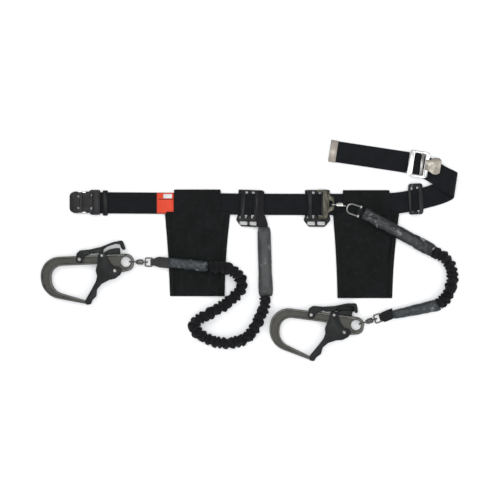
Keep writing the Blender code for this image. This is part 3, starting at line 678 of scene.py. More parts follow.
def slab(outline, low, high, edge, holes=()):
    """Closed plate as a bmesh in the local frame, mm to metres, its edges rounded by edge mm."""
    work = bmesh.new()
    lines = [(outline, 1.0)] + [(hole, -1.0) for hole in holes]
    steps = [(edge, low), (edge * 0.3, low + edge * 0.3), (0.0, low + edge),
             (0.0, high - edge), (edge * 0.3, high - edge * 0.3), (edge, high)]
    caps = {0: [], len(steps) - 1: []}
    for line, way in lines:
        rings = [[work.verts.new(Vector((x, y, z)) * MM)
                  for x, y in offset_outline(line, inset * way)] for inset, z in steps]
        skin(work, rings, False)
        for index in caps:
            caps[index].append(rings[index])
    for rings in caps.values():
        fill_between(work, rings[0], rings[1:])
    return work


def lay(mesh, at, turn):
    """Turns a mesh about its own origin, in degrees, and moves it to x, y in mm."""
    mesh.transform(Matrix.Translation(spot(*at, 0.0))
                   @ Matrix.Rotation(math.radians(turn), 4, "Z"))
    return mesh


def split_sharp(piece, degrees):
    """Smooth shading that breaks at edges sharper than the angle."""
    piece.data.shade_smooth()
    piece.data.set_sharp_from_angle(angle=math.radians(degrees))


# ---------------------------------------------------------------- belt and its webbing
BELT_Z, BELT_THICK = 5.3, 2.4


def make_belt():
    """Webbing from the buckle, folded over at the right and led back as the free tail."""
    z = BELT_Z
    upper = [(-364, 134.6, z), (-200, 133.4, z), (0, 131.2, z), (180, 130.6, z),
             (300, 131.6, z), (345, 134.0, z), (377, 139.5, z), (409, 146.5, z),
             (440, 158.0, z), (466, 169.0, 5.6), (481.5, 177.0, 8.5), (485.0, 180.0, 14.0),
             (478.0, 183.5, 19.2), (462.0, 192.0, 13.0), (444.0, 203.0, 7.5),
             (425.0, 214.5, 5.6), (404.0, 222.8, z), (376.0, 228.3, z), (330.0, 235.2, z),
             (260.0, 245.8, z), (203.0, 254.4, z)]
    lower = [(-364, 84.6, z), (-200, 83.4, z), (0, 81.2, z), (180, 80.6, z), (300, 81.6, z),
             (350, 84.6, z), (384, 90.4, z), (421, 98.6, z), (452, 107.5, z),
             (469, 114.5, 5.6), (475.5, 119.0, 8.5), (476.0, 122.5, 14.0),
             (468.0, 127.0, 19.2), (449.0, 137.5, 16.0), (426.0, 154.5, 9.3),
             (404.0, 168.0, z), (389.0, 176.0, z), (368.5, 179.3, z), (322.5, 186.4, z),
             (252.5, 197.0, z), (195.5, 205.6, z)]
    mesh = ribbon("belt", smooth_path(upper, 12), smooth_path(lower, 12), BELT_THICK - 0.2, 48,
                  8.4, 0.05)
    add_piece("belt_woven", mesh, "belt", "belt", ("belt_webbing",))
    top = BELT_Z + BELT_THICK / 2.0
    for index, x in enumerate((-350.5, -347.0)):
        stitches(f"belt_stitch_buckle_{index + 1}", [(x, 87.5, top), (x, 131.5, top)], "belt")
    for index, x in enumerate((206.0, 210.5)):
        stitches(f"belt_stitch_tail_{index + 1}",
                 [(x - 3.2, 208.5, top), (x + 3.6, 250.0, top)], "belt")


def place_turned(mesh, at):
    """Moves a mesh made about the drawing's origin to at = x, y in mm and a turn in degrees."""
    mesh.transform(Matrix.Translation(spot(at[0], at[1], 0.0))
                   @ Matrix.Rotation(math.radians(at[2]), 4, "Z")
                   @ Matrix.Translation(-spot(0.0, 0.0, 0.0)))
    return mesh


ADJUSTER_AT = (371.3, 203.9, -8.7)


def make_belt_wrap():
    """Turn of webbing over the adjuster's bar, bent about the belt's width."""
    profile = [(14.2, 8.1), (14.6, 10.4), (16.8, 12.0), (19.9, 12.5), (23.0, 12.0),
               (25.2, 10.4), (25.6, 8.1)]
    left = smooth_path([(x, -25.1, z) for x, z in profile], 5)
    right = smooth_path([(x, 25.1, z) for x, z in profile], 5)
    mesh = ribbon("wrap", left, right, 1.7, 36, 8.4, 0.06)
    add_piece("belt_wrap_woven", place_turned(mesh, ADJUSTER_AT), "belt", "adjuster",
              ("belt_wrap",))


def make_label():
    """Woven patch with a turned edge, a plain block and a darker line, and no lettering."""
    x0, x1, y0, y1, z0 = -218.5, -179.0, 84.5, 133.0, 6.9
    path = [(y0, z0 + 0.1), (y0 + 6, z0 + 0.25), (y0 + 24, z0 + 0.3), (y1 - 6, z0 + 0.25),
            (y1, z0 + 0.1)]
    add_piece("label_patch", bent_strap("label", path, x0, x1, 0.5, 8, 24), "label", "belt",
              ("label",))
    block = [(120.0, z0 + 0.62), (125.0, z0 + 0.68), (130.0, z0 + 0.62)]
    add_piece("label_block", bent_strap("label_block", block, -203.0, -183.0, 0.16, 4, 12),
              "label_white", "belt")
    line = [(117.2, z0 + 0.62), (118.0, z0 + 0.66), (118.8, z0 + 0.62)]
    add_piece("label_bar", bent_strap("label_bar", line, x0 + 4.5, x1 - 0.8, 0.16, 3, 8),
              "strap", "belt")
    edge = z0 + 0.35
    ring = [(x0 + 1.6, y0 + 1.6, edge), (x1 - 1.6, y0 + 1.6, edge), (x1 - 1.6, y1 - 1.6, edge),
            (x0 + 1.6, y1 - 1.6, edge), (x0 + 1.6, y0 + 1.6, edge)]
    for index, (start, end) in enumerate(zip(ring, ring[1:])):
        stitches(f"label_stitch_{index + 1}", [start, end], "belt", 2.6, 0.28)


# ---------------------------------------------------------------- pouches
POUCHES = {
    "left": {"mouth": (-199.5, -47.0), "foot": (-187.0, -60.5), "strap": (-178.0, -69.0),
             "mouth_y": 79.0, "foot_y": -108.5, "top_y": 141.0,
             "crease": ((-62.0, 60.0), (-128.0, -8.0)), "seed": 3.0},
    "right": {"mouth": (195.0, 349.5), "foot": (206.0, 332.5), "strap": (218.0, 327.0),
              "mouth_y": 79.0, "foot_y": -113.0, "top_y": 139.5,
              "crease": ((340.0, 30.0), (318.0, -60.0)), "seed": 19.0},
}
POUCH_LOW, POUCH_HIGH, POUCH_STITCH_Z = 0.6, 9.5, 8.7
POUCH_ROWS, POUCH_COLUMNS = 56, 60
POUCH_FOLD, POUCH_SAG, POUCH_RIPPLE = 4.2, 1.1, 0.45        # mm
MOUTH_LIP = 9.5             # mm that the front panel comes up over the belt


def crease_depth(x, y, crease, width=9.0):
    """Depth of a soft fold that runs between two points, 1 on its line and 0 away from it."""
    (ax, ay), (bx, by) = crease
    along = Vector((bx - ax, by - ay))
    offset = Vector((x - ax, y - ay))
    share = max(0.0, min(1.0, offset.dot(along) / along.length_squared))
    gap = (offset - along * share).length
    fade = math.sin(math.pi * min(1.0, max(0.0, 0.15 + share * 0.85)))
    return math.exp(-(gap / width) ** 2) * fade


def pouch_edges(size, share):
    """Left and right edge of the bag, share 0 at the mouth and 1 at the foot, slightly waisted."""
    (m0, m1), (f0, f1) = size["mouth"], size["foot"]
    waist = 2.2 * math.sin(math.pi * share)
    return (m0 - 0.8 + (f0 - m0) * share ** 0.8 + waist * 0.5,
            m1 + 1.2 + (f1 - m1) * share ** 0.8 - waist)


def make_pouch_bag(side):
    """Open bag: one sheet round the front and back, closed at its foot, sagging and creased."""
    size = POUCHES[side]
    work = bmesh.new()
    rings = []
    middle = (POUCH_LOW + POUCH_HIGH) / 2.0
    for row in range(POUCH_ROWS + 1):
        share = row / POUCH_ROWS
        y = size["mouth_y"] + (size["foot_y"] - 1.2 - size["mouth_y"]) * share
        left, right = pouch_edges(size, share)
        foot = min(1.0, (1.0 - share) * 9.0) ** 0.5
        front, back = [], []
        for column in range(POUCH_COLUMNS + 1):
            across = column / POUCH_COLUMNS
            x = left + (right - left) * across
            swell = (1.0 - abs(2.0 * across - 1.0) ** 7) ** 0.5 * foot
            fold = crease_depth(x, y, size["crease"]) * POUCH_FOLD
            sag = POUCH_SAG * noise.noise(Vector((x * 0.022, y * 0.018, size["seed"])))
            ripple = POUCH_RIPPLE * noise.noise(Vector((x * 0.07, y * 0.05, size["seed"] + 5.0)))
            high = (POUCH_HIGH - middle - 1.5) * swell
            lift = (sag + ripple - fold) * min(1.0, swell * 1.2)
            lip = max(0.0, 1.0 - share * 7.0) * MOUTH_LIP
            front.append(work.verts.new(spot(x, y + lip, middle + high + min(lift, 1.3)
                                             + lip * 0.09)))
            if 0 < column < POUCH_COLUMNS:
                back.append(work.verts.new(spot(x, y, middle - (middle - POUCH_LOW) * swell)))
        rings.append(front + back[::-1])
    skin(work, rings, False)
    last = rings[-1]
    sides = len(last)
    for column in range(POUCH_COLUMNS):
        corners = [last[column], last[column + 1], last[(sides - column - 1) % sides],
                   last[(sides - column) % sides]]
        corners = list(dict.fromkeys(corners))
        if len(corners) > 2:
            work.faces.new(corners)
    mesh = finish_mesh(work, side + "_bag")

    def build(holder):
        change = holder.modifiers.new("wall", "SOLIDIFY")
        change.thickness = 1.0 * MM
        change.offset = -1.0
    mesh = apply_modifiers(mesh, build)
    body = side + "_pouch"
    add_piece(side + "_pouch_shell", mesh, "pouch", body,
              (side + "_pouch_bag",))


def make_pouch_strap(side):
    """Broad strap over the belt, down the front and behind, with a turned and stitched edge."""
    size = POUCHES[side]
    body = side + "_pouch"
    x0, x1 = size["strap"]
    y0, y1 = size["mouth_y"] + 0.6, size["top_y"]
    path = [(y0, 1.5), (y0 + 22, 1.5), (y1 - 8, 1.6), (y1 - 2.2, 2.2), (y1 - 0.9, 5.0),
            (y1 - 2.2, 7.6), (y1 - 8, 8.2), (y0 + 22, 8.2), (y0, 8.2)]
    mesh = bent_strap(side + "_strap", path, x0, x1, 1.4, 7, 56)
    add_piece(side + "_pouch_strap_cloth", mesh, "pouch", body,
              (side + "_pouch_strap",))
    top = POUCH_STITCH_Z
    for index, inset in enumerate((3.0, 8.5)):
        for end, x in enumerate((x0 + inset, x1 - inset)):
            stitches(f"{side}_strap_stitch_{index * 2 + end + 1}",
                     [(x, y0 + 2, top), (x, y1 - 7, top)], body, 3.6)


def make_pouch_trim(side):
    """Binding along both sides, each with a row of stitches."""
    size = POUCHES[side]
    body = side + "_pouch"
    rows = 24
    for end in (0, 1):
        inner, outer = [], []
        for row in range(rows + 1):
            share = row / rows
            y = size["mouth_y"] - 0.6 + (size["foot_y"] + 6.0 - size["mouth_y"]) * share
            x = pouch_edges(size, share)[end]
            way = 1 if end == 0 else -1
            outer.append(Vector((x + way * 1.4, y, 6.4)))
            inner.append(Vector((x + way * 9.5, y, 9.2)))
        pair = (outer, inner) if end == 0 else (inner, outer)
        name = f"{side}_binding_{end + 1}"
        add_piece(name, ribbon(name, *pair, 0.9, 10), "binding", body)
        seam = [(a + (b - a) * 0.78) + Vector((0, 0, 0.45)) for a, b in zip(outer, inner)]
        stitches(name + "_stitch", seam, body, 3.2)


# ---------------------------------------------------------------- covers over the absorbers
COVERS = {
    "left_absorber_cover": {"centre": (34.9, -28.9), "length": 159.7, "wide": 37.0,
                            "turn": -88.3, "low": 1.0, "high": 19.0, "taper": 0.9,
                            "finish": "grey_vinyl", "wrinkle": 0.35, "cross": 0.25, "seed": 2.0},
    "left_end_cover": {"centre": (-143.5, -35.0), "length": 93.0, "wide": 27.0, "turn": -6.5,
                       "low": 10.2, "high": 26.2, "taper": 0.95, "finish": "pale_vinyl",
                       "wrinkle": 0.9, "cross": 0.5, "seed": 7.0},
    "right_absorber_cover": {"centre": (346.5, 40.7), "length": 183.5, "wide": 35.0,
                             "turn": -28.8, "low": 10.2, "high": 26.2, "taper": 0.92,
                             "finish": "clear_vinyl", "wrinkle": 1.1, "cross": 0.7,
                             "seed": 13.0},
    "right_end_cover": {"centre": (385.0, -142.0), "length": 104.0, "wide": 31.0, "turn": 12.2,
                        "low": 1.2, "high": 21.0, "taper": 0.72, "finish": "pale_vinyl",
                        "sleeve": 7.5, "wrinkle": 0.6, "cross": 0.3, "seed": 23.0},
}
PAD_SHRINK = 1.1            # mm taken off before the pad swells
PAD_OVERHANG = 2.6          # mm that the sleeve passes each end of its pack
PAD_CAP = 1.9               # mm that a point may move while it swells
VOXEL = 4.0
CLOTH_PRESSURE, CLOTH_FRAMES, CLOTH_QUALITY = 4.0, 20, 6


def squared(value, power):
    """Signed power of a sine or cosine, which makes a round section squarer."""
    return math.copysign(abs(value) ** power, value)


def pad_block(size):
    """Rounded slab in the cover's own frame, a little smaller than its CAD solid."""
    work = bmesh.new()
    rows, columns = 34, 10
    half_long = size["length"] / 2.0 + PAD_OVERHANG
    middle = (size["low"] + size["high"]) / 2.0
    deep = (size["high"] - size["low"]) / 2.0 - PAD_SHRINK * 0.8
    rings = []
    for row in range(rows + 1):
        share = row / rows
        x = -half_long + (2.0 * half_long + size.get("sleeve", 0.0)) * share
        close = min(1.0, min(share, 1.0 - share) * rows / 3.0)
        wide = (size["wide"] / 2.0 - PAD_SHRINK) * (size["taper"] + (1.0 - size["taper"]) * share)
        wide *= 0.86 + 0.14 * math.sin(math.pi / 2.0 * close)
        tall = deep * (0.42 + 0.58 * math.sin(math.pi / 2.0 * close))
        ring = []
        for step in range(4 * columns):
            angle = math.tau * step / (4 * columns)
            c, s = math.cos(angle), math.sin(angle)
            ring.append(work.verts.new(Vector((
                x, wide * squared(c, 0.35), middle + tall * squared(s, 0.5))) * MM))
        rings.append(ring)
    skin(work, rings)
    return finish_mesh(work, "pad")


def swell(mesh):
    def remesh(holder):
        change = holder.modifiers.new("voxels", "REMESH")
        change.mode = "VOXEL"
        change.voxel_size = VOXEL * MM
        change.use_smooth_shade = True
    mesh = apply_modifiers(mesh, remesh)
    start = [v.co.copy() for v in mesh.vertices]
    holder = bpy.data.objects.new("swelling", mesh)
    bpy.context.scene.collection.objects.link(holder)
    change = holder.modifiers.new("cloth", "CLOTH")
    cloth = change.settings
    cloth.use_pressure = True
    cloth.uniform_pressure_force = CLOTH_PRESSURE
    cloth.effector_weights.gravity = 0.0
    cloth.quality = CLOTH_QUALITY
    change.point_cache.frame_start, change.point_cache.frame_end = 1, CLOTH_FRAMES
    for step in range(1, CLOTH_FRAMES + 1):
        bpy.context.scene.frame_set(step)
    shaped = holder.evaluated_get(bpy.context.evaluated_depsgraph_get())
    moved = [v.co.copy() for v in shaped.data.vertices]
    bpy.data.objects.remove(holder, do_unlink=True)
    bpy.context.scene.frame_set(1)
    for vertex, before, after in zip(mesh.vertices, start, moved):
        shift = after - before
        if shift.length > PAD_CAP * MM:
            shift = shift.normalized() * PAD_CAP * MM
        vertex.co = before + shift
    return subdivide(mesh)


def wrinkle(mesh, size):
    """Film shrunk over its pack: long diagonal folds, cross pleats near the ends, kept in depth."""
    half_long = size["length"] / 2.0
    normals = [v.normal.copy() for v in mesh.vertices]
    for vertex, normal in zip(mesh.vertices, normals):
        x, y, z = vertex.co / MM
        seed = size["seed"]
        warp = noise.noise(Vector((x * 0.03, y * 0.05, seed))) * 9.0
        ridge = 1.0 - abs(noise.noise(Vector(((x + warp) * 0.085, (y + warp * 0.6) * 0.12,
                                              z * 0.1 + seed)))) * 2.4
        end = max(0.0, abs(x) / half_long - 0.72) / 0.28
        pleat = math.sin(y * 0.95 + 2.0 * noise.noise(Vector((x * 0.05, 0.0, seed)))) * end
        move = (ridge - 0.55) * size["wrinkle"] + pleat * size["cross"]
        place = vertex.co / MM + normal * move
        place.z = max(size["low"] - 0.2, min(size["high"] + 0.6, place.z))
        vertex.co = place * MM
    return mesh


def make_covers():
    for name, size in COVERS.items():
        mesh = lay(wrinkle(swell(pad_block(size)), size), size["centre"], size["turn"])
        piece = add_piece(name + "_film", mesh, size["finish"], "belt", (name,))


# ---------------------------------------------------------------- elastic gathered lanyards
BUNGEE_ROUTES = {
    "left": [(37.4, -110.4, 13.4), (36.0, -122.0, 13.4), (29.0, -146.0, 13.4),
             (17.0, -174.0, 13.4), (0.0, -198.0, 13.4), (-22.0, -213.0, 13.4),
             (-47.0, -219.5, 13.4), (-75.0, -217.0, 13.4), (-102.0, -208.0, 13.4),
             (-122.0, -196.0, 13.4), (-130.5, -182.5, 13.4), (-125.0, -169.0, 13.4),
             (-107.0, -157.0, 13.4), (-82.0, -143.0, 13.4), (-58.0, -128.0, 13.4),
             (-38.0, -112.5, 14.0), (-23.0, -95.0, 16.5), (-19.5, -77.0, 20.0),
             (-30.0, -58.0, 22.8), (-50.0, -45.0, 23.2), (-72.0, -40.5, 23.2),
             (-94.4, -40.6, 23.2)],
    "right": [(428.8, -4.6, 15.0), (438.0, -9.0, 13.8), (452.0, -16.0, 13.4),
              (465.0, -32.0, 13.4), (473.0, -52.0, 13.4), (473.5, -74.0, 13.4),
              (467.5, -95.0, 13.4), (460.0, -110.0, 13.4), (451.0, -120.5, 13.4),
              (441.5, -127.3, 13.4)],
}
BUNGEE_RADIUS = 11.4
GATHER_PITCH = 14.0          # mm from one gather of the tube to the next
PLEAT_RISE, FINE_RISE, LUMP_RISE, RISE_CAP = 3.3, 0.3, 3.9, 4.6     # mm
BUNGEE_PITCH, BUNGEE_SIDES = 1.3, 36
BUNGEE_SEEDS = {"left": 4.0, "right": 31.0}


def even_path(points, pitch):
    """The path's points again, an even pitch apart."""
    placed, carry = [points[0].copy()], 0.0
    for start, end in zip(points, points[1:]):
        length = (end - start).length
        at = pitch - carry
        while at <= length:
            placed.append(start.lerp(end, at / length))
            at += pitch
        carry = (carry + length) % pitch
    placed = [p for i, p in enumerate(placed)
              if not i or (p - placed[i - 1]).length > pitch / 2.0]
    if (placed[-1] - points[-1]).length < pitch / 2.0:
        placed.pop()
    placed.append(points[-1].copy())
    return placed


def make_bungee(side):
    """Tubular webbing gathered over its elastic core in uneven pleats."""
    fine = smooth_path(BUNGEE_ROUTES[side], 24)
    path = even_path(fine, BUNGEE_PITCH)
    work = bmesh.new()
    rings, travel = [], 0.0
    seed = BUNGEE_SEEDS[side]
    for index, place in enumerate(path):
        along = (path[min(index + 1, len(path) - 1)] - path[max(index - 1, 0)]).normalized()
        across = along.cross(UP).normalized()
        lift = across.cross(along).normalized()
        ring = []
        for step in range(BUNGEE_SIDES):
            angle = math.tau * step / BUNGEE_SIDES
            c, s = math.cos(angle), math.sin(angle)
            slip = 5.5 * noise.noise(Vector((c * 0.8, s * 0.8, travel * 0.03 + seed)))
            pleat = math.sin(math.pi * (travel + slip * 2.0) / GATHER_PITCH)
            pleat = 2.0 * abs(pleat) ** 0.7 - 1.2
            small = math.sin(math.tau * (travel + slip * 3.0) / (GATHER_PITCH * 0.43))
            lumps = noise.noise(Vector((c * 1.3, s * 1.3, travel * 0.085 + seed)))
            radius = BUNGEE_RADIUS + PLEAT_RISE * pleat + FINE_RISE * small + LUMP_RISE * lumps
            radius = min(radius, BUNGEE_RADIUS + RISE_CAP)
            point = place + (across * c + lift * s * 0.96) * radius
            point.z = max(point.z, 0.5)
            ring.append(work.verts.new((point + ORIGIN) * MM))
        rings.append(ring)
        if index + 1 < len(path):
            travel += (path[index + 1] - place).length
    skin(work, rings)
    piece = add_piece(side + "_gathered_tube", finish_mesh(work, side + "_tube"), "bungee",
                      "belt", (side + "_bungee",))


# ---------------------------------------------------------------- hooks
HOOKS = {"left": {"eye": (-290.7, -28.7), "turn": 2.4, "chain": -1.0},
         "right": {"eye": (248.4, -177.0), "turn": -7.6, "chain": 17.0}}
HOOK_Z, HOOK_BODY = 9.5, 12.8
RING_AT, RING_RADIUS, ROD_RADIUS = 15.5, 7.3, 1.7
COLLAR_GAP, COLLAR_LENGTH, COLLAR_RADIUS, COLLAR_EDGE = 1.2, 3.4, 5.0, 0.5
BARREL_GAP, BARREL_LENGTH, BARREL_RADIUS, BARREL_LOOP = 4.9, 13.2, 6.4, 5.0
LINK_NEAR, LINK_FAR, LINK_HALF, LINK_CORNER = 45.5, 62.0, 9.5, 2.6


def hook_outline():
    """Outline of the bow, spine and eye; the eye's centre is the origin."""
    return fillet([(18.5, 19, 18), (18.5, -19, 17), (-12, -25, 6), (-38, -29, 9), (-44, -3, 8),
                   (-176, -3, 26), (-176, -60.2, 34), (-93, -88.2, 1), (-88, -94.5, 1.5),
                   (-92, -95.8, 2), (-200, -70.5, 50), (-200, 18, 50)], 10)


def place_hook(side, mesh):
    """Moves a mesh made about the hook's eye to where the hook lies."""
    return lay(mesh, HOOKS[side]["eye"], HOOKS[side]["turn"])


RIM_WIDTH, RIM_SLOPE, WEB_DEPTH = 3.6, 1.3, 2.2


def ease(value, start, end):
    """0 before start, 1 after end and smooth between them."""
    share = max(0.0, min(1.0, (value - start) / (end - start)))
    return share * share * (3.0 - 2.0 * share)


def formed_hook(side):
    """Forged body: raised rims along both edges of a recessed web, thinner at the eye."""
    name = side + "_hook_body"
    outline = dense(hook_outline(), 2.5)
    hole = circle(0.0, 0.0, 12.0, 48)
    half = HOOK_BODY / 2.0
    levels = [(0.0, 0.0, half - 1.2), (0.35, 0.0, half - 0.4), (1.2, 0.0, half),
              (RIM_WIDTH, 0.0, half), (RIM_WIDTH + RIM_SLOPE, 1.0, half)]
    room = inner_room(outline)
    work = bmesh.new()
    loops = {1: [], -1: []}
    for way in (1, -1):
        for inset, drop, height in levels:
            line = offset_outline(outline, inset, room)
            ring = []
            for x, y in line:
                deep = WEB_DEPTH * drop * ease(-x, 16.0, 30.0)
                tall = (height - deep) * (1.0 - ease(x, -3.0, 4.0) * 0.36)
                ring.append(work.verts.new(Vector((x, y, HOOK_Z + way * tall)) * MM))
            loops[way].append(ring)
    bands = [(loops[1][0], loops[-1][0], 1)]
    for way in (1, -1):
        for index, (near, far) in enumerate(zip(loops[way], loops[way][1:])):
            bands.append((near, far, 1 if index == 0 else 0))
    for near, far, finish in bands:
        for face in skin(work, [near, far], False):
            face.material_index = finish
    rims = {}
    for way in (1, -1):
        tall = half * 0.64
        rims[way] = [work.verts.new(Vector((x, y, HOOK_Z + way * tall)) * MM) for x, y in hole]
        fill_between(work, loops[way][-1], [rims[way]], 1)
    for face in skin(work, [rims[1], rims[-1]], False):
        face.material_index = 1
    mesh = place_hook(side, finish_mesh(work, name + "_formed"))
    # the rims' lighter finish is a painted highlight along them
    piece = add_piece(name + "_forged", mesh, ("rim", "alloy"), side + "_hook",
                      (name,))
    split_sharp(piece, 40.0)


GATE_CHEEK = [(-63, 22, 4), (-66, 0, 6), (-71, -18, 12), (-68, -30, 10), (-71, -42, 8),
              (-84, -64, 40), (-99, -88, 2), (-96, -96.4, 2), (-87, -96.4, 3), (-82, -86, 5),
              (-73, -78, 5), (-71, -62, 8), (-60, -50, 12), (-42, -41.5, 12), (-27, -38.5, 10),
              (-15, -30, 8), (-9.5, -20, 4), (-14, -11, 8), (-28, -9, 10), (-36, 0, 10),
              (-42, 12, 6), (-46, 24, 4)]
GATE_ARM = [(-70.2, -40.2, 2), (-83, -64, 30), (-92.6, -85.2, 1), (-86.6, -91.5, 1),
            (-81.8, -86, 3), (-72.8, -78, 4), (-70.6, -62, 6), (-59.6, -50, 10), (-48, -44.2, 4),
            (-50, -40.2, 2)]
LEVER_CHEEK = [(-117, 3, 7), (-114, 24, 4), (-106, 31, 6), (-90, 31.9, 4), (-82.5, 32.2, 1),
               (-82.5, 21.4, 1), (-90, 19.8, 3), (-97, 12, 6), (-101, 2, 5)]
LEVER_ARM = [(-113.6, 24.4, 2), (-106, 30.6, 6), (-84, 31.9, 20), (-55, 37.8, 30),
             (-28, 47.3, 30), (-6, 50.8, 5), (-1.5, 38, 8), (0.4, 29, 3), (-6, 27.6, 3),
             (-10, 34, 3), (-11, 41.2, 3), (-22, 43.2, 6), (-43, 37.0, 6), (-51.5, 31, 4),
             (-53, 23.7, 1), (-78, 21.9, 1), (-80, 24.4, 1)]
GUARD = [(-49, 19.2, 2), (-49, 25, 3), (-36, 30.8, 9), (-22, 33, 8), (-12.7, 32.4, 3),
         (-12.5, 19.2, 1)]
# dark plate for the right hook only, under the slot between lever and guard: it stands in for the
# shade that darkens that slot, while the left hook's slot stays open
SLOT_SHADE_WEB = [(-51.5, 25.2, 0.5), (-50.5, 33, 3), (-43, 38, 6), (-22, 45, 6), (-10, 43, 3),
             (-8, 34, 2), (-9.4, 29.6, 1), (-36, 29.0, 6)]
GATE_HALF, CHEEK = 8.9, 2.2


def hook_cover(side, name, slabs, body):
    """Moulded cover of a hook in place of its CAD node, built of rounded slabs."""
    works = [slab(fillet(outline, 6), HOOK_Z + low, HOOK_Z + high, edge)
             for outline, low, high, edge in slabs]
    mesh = place_hook(side, finish_mesh(joined(works), name))
    piece = add_piece(f"{side}_{name}_moulded", mesh, "gate", body,
                      (f"{side}_{name}",))
    split_sharp(piece, 50.0)


def make_hook(side):
    formed_hook(side)
    inner, half = GATE_HALF - CHEEK, HOOK_BODY / 2.0
    hook_cover(side, "gate", [(GATE_CHEEK, inner, GATE_HALF, 0.8),
                              (GATE_CHEEK, -GATE_HALF, -inner, 0.8),
                              (GATE_ARM, -inner - 0.4, inner + 0.4, 0.3)], side + "_gate")
    lever = [(LEVER_CHEEK, inner, GATE_HALF, 0.8), (LEVER_CHEEK, -GATE_HALF, -inner, 0.8),
             (LEVER_ARM, -half, half, 1.3)]
    # the right hook alone gets the dark plate that stands in for shade in its slot
    if side == "right":
        lever.append((SLOT_SHADE_WEB, -half, 0.8 - half, 0.2))
    hook_cover(side, "lever", lever, side + "_lever")
    hook_cover(side, "back_guard", [(GUARD, 1.1 - half, half - 0.3, 1.4)], side + "_hook")
    for name, body in (("gate", "hook"), ("lever", "hook"), ("lug", "gate")):
        rivet(f"{side}_rivet_{name}", f"{side}_{body}")
    make_chain(side)


def ring_points(centre, radius, frame_x, frame_z, count=32):
    return [centre + frame_x * (radius * MM * math.cos(math.tau * i / count))
            + frame_z * (radius * MM * math.sin(math.tau * i / count)) for i in range(count)]


def joined(works):
    """One mesh of several."""
    whole = bmesh.new()
    for part in works:
        mesh = bpy.data.meshes.new("part")
        part.to_mesh(mesh)
        part.free()
        whole.from_mesh(mesh)
        bpy.data.meshes.remove(mesh)
    return whole


def barrel_profile(start, length, radius, edge=0.9):
    return [(start, radius - edge), (start + edge, radius), (start + length * 0.3, radius),
            (start + length * 0.36, radius - 0.5), (start + length * 0.42, radius),
            (start + length - edge, radius), (start + length, radius - edge)]


def chain_ways(side):
    """Unit vectors along and across the chain that leads away from a hook's eye."""
    angle = math.radians(HOOKS[side]["chain"])
    along = Vector((math.cos(angle), math.sin(angle), 0.0))
    return along, Vector((-along.y, along.x, 0.0))


def make_chain(side):
    """Round-wire ring, swivel barrel with its groove, and the link."""
    along, across = chain_ways(side)
    eye = spot(*HOOKS[side]["eye"], HOOK_Z)
    ring = wire_mesh(ring_points(eye + along * RING_AT * MM, RING_RADIUS, along, UP), ROD_RADIUS)
    ring_end = RING_AT + RING_RADIUS
    collar = turned(eye, along, barrel_profile(ring_end + COLLAR_GAP, COLLAR_LENGTH,
                                               COLLAR_RADIUS, COLLAR_EDGE))
    add_piece(side + "_swivel_ring_round", finish_mesh(joined([ring, collar]), "ring"),
              "dark_steel", side + "_swivel", (side + "_swivel_ring",))
    barrel = turned(eye, along, barrel_profile(ring_end + BARREL_GAP, BARREL_LENGTH,
                                               BARREL_RADIUS))
    loop = wire_mesh(ring_points(eye + along * LINK_NEAR * MM, BARREL_LOOP, along, UP),
                     ROD_RADIUS)
    add_piece(side + "_swivel_barrel_round", finish_mesh(joined([barrel, loop]), "barrel"),
              "dark_steel", "belt", (side + "_swivel_barrel",))
    corners = []
    r = LINK_CORNER
    for cx, cy, first in ((LINK_FAR - r, LINK_HALF - r, 0), (LINK_NEAR + r, LINK_HALF - r, 90),
                          (LINK_NEAR + r, r - LINK_HALF, 180), (LINK_FAR - r, r - LINK_HALF, 270)):
        for step in range(6):
            a = math.radians(first + step * 18.0)
            corners.append(eye + along * (cx + r * math.cos(a)) * MM
                           + across * (cy + r * math.sin(a)) * MM)
    add_piece(side + "_link_round", finish_mesh(wire_mesh(corners, ROD_RADIUS), "link"),
              "dark_steel", "belt", (side + "_link",))


# ---------------------------------------------------------------- buckle
BUCKLE_AT = (-388.0, 110.5)
CASE_FLOOR = [(-34.5, -20, 15), (-24, -25.2, 8), (12, -24.6, 2), (16, -29.2, 3),
              (36.5, -29.2, 3), (36.5, 29.2, 3), (16, 29.2, 3), (10, 25.0, 2), (-24, 25.2, 8),
              (-34.5, 20, 15)]
CASE_TOP = [(-34.5, -20, 15), (-24, -25.2, 8), (-14.5, -25, 1), (-12.5, -22.4, 1),
            (3, -22.4, 1), (5, -25, 1), (12, -24.6, 2), (16, -29.2, 3), (36.5, -29.2, 3),
            (36.5, 29.2, 3), (16, 29.2, 3), (10, 25.0, 2), (5, 25, 1), (3, 22.4, 1),
            (-12.5, 22.4, 1), (-14.5, 25, 1), (-24, 25.2, 8), (-34.5, 20, 15)]
CASE_WALL = [(36.3, -29, 3), (16, -29, 3), (12, -24.4, 1), (7, -24.4, 0.5), (7, -15.7, 0.2),
             (-18.6, -15.7, 0.2), (-18.6, -24.6, 0.5), (-24, -24.8, 6), (-33.5, -19, 6),
             (-34, -15.2, 0.5), (10, -15.2, 0.5), (10, 15.2, 0.5), (-34, 15.2, 0.5),
             (-33.5, 19, 6), (-24, 24.8, 6), (-18.6, 24.6, 0.5), (-18.6, 15.7, 0.2),
             (7, 15.7, 0.2), (7, 24.4, 0.5), (12, 24.4, 1), (16, 29, 3), (36.3, 29, 3)]
COVER = [(-34.0, -19, 14), (-24, -24.4, 8), (-3.5, -24.0, 1.5), (-3.5, 24.0, 1.5),
         (-24, 24.4, 8), (-34.0, 19, 14)]
BUCKLE_HOLES = ([(12.5, -12.0, 1.2), (21.5, -8.5, 1.2), (20.0, -14.5, 1.2), (13.5, -20.5, 1.2)],
                [(13.0, 16.0, 1), (18.0, 14.0, 1), (18.5, 19.0, 1), (14.5, 21.0, 1)])


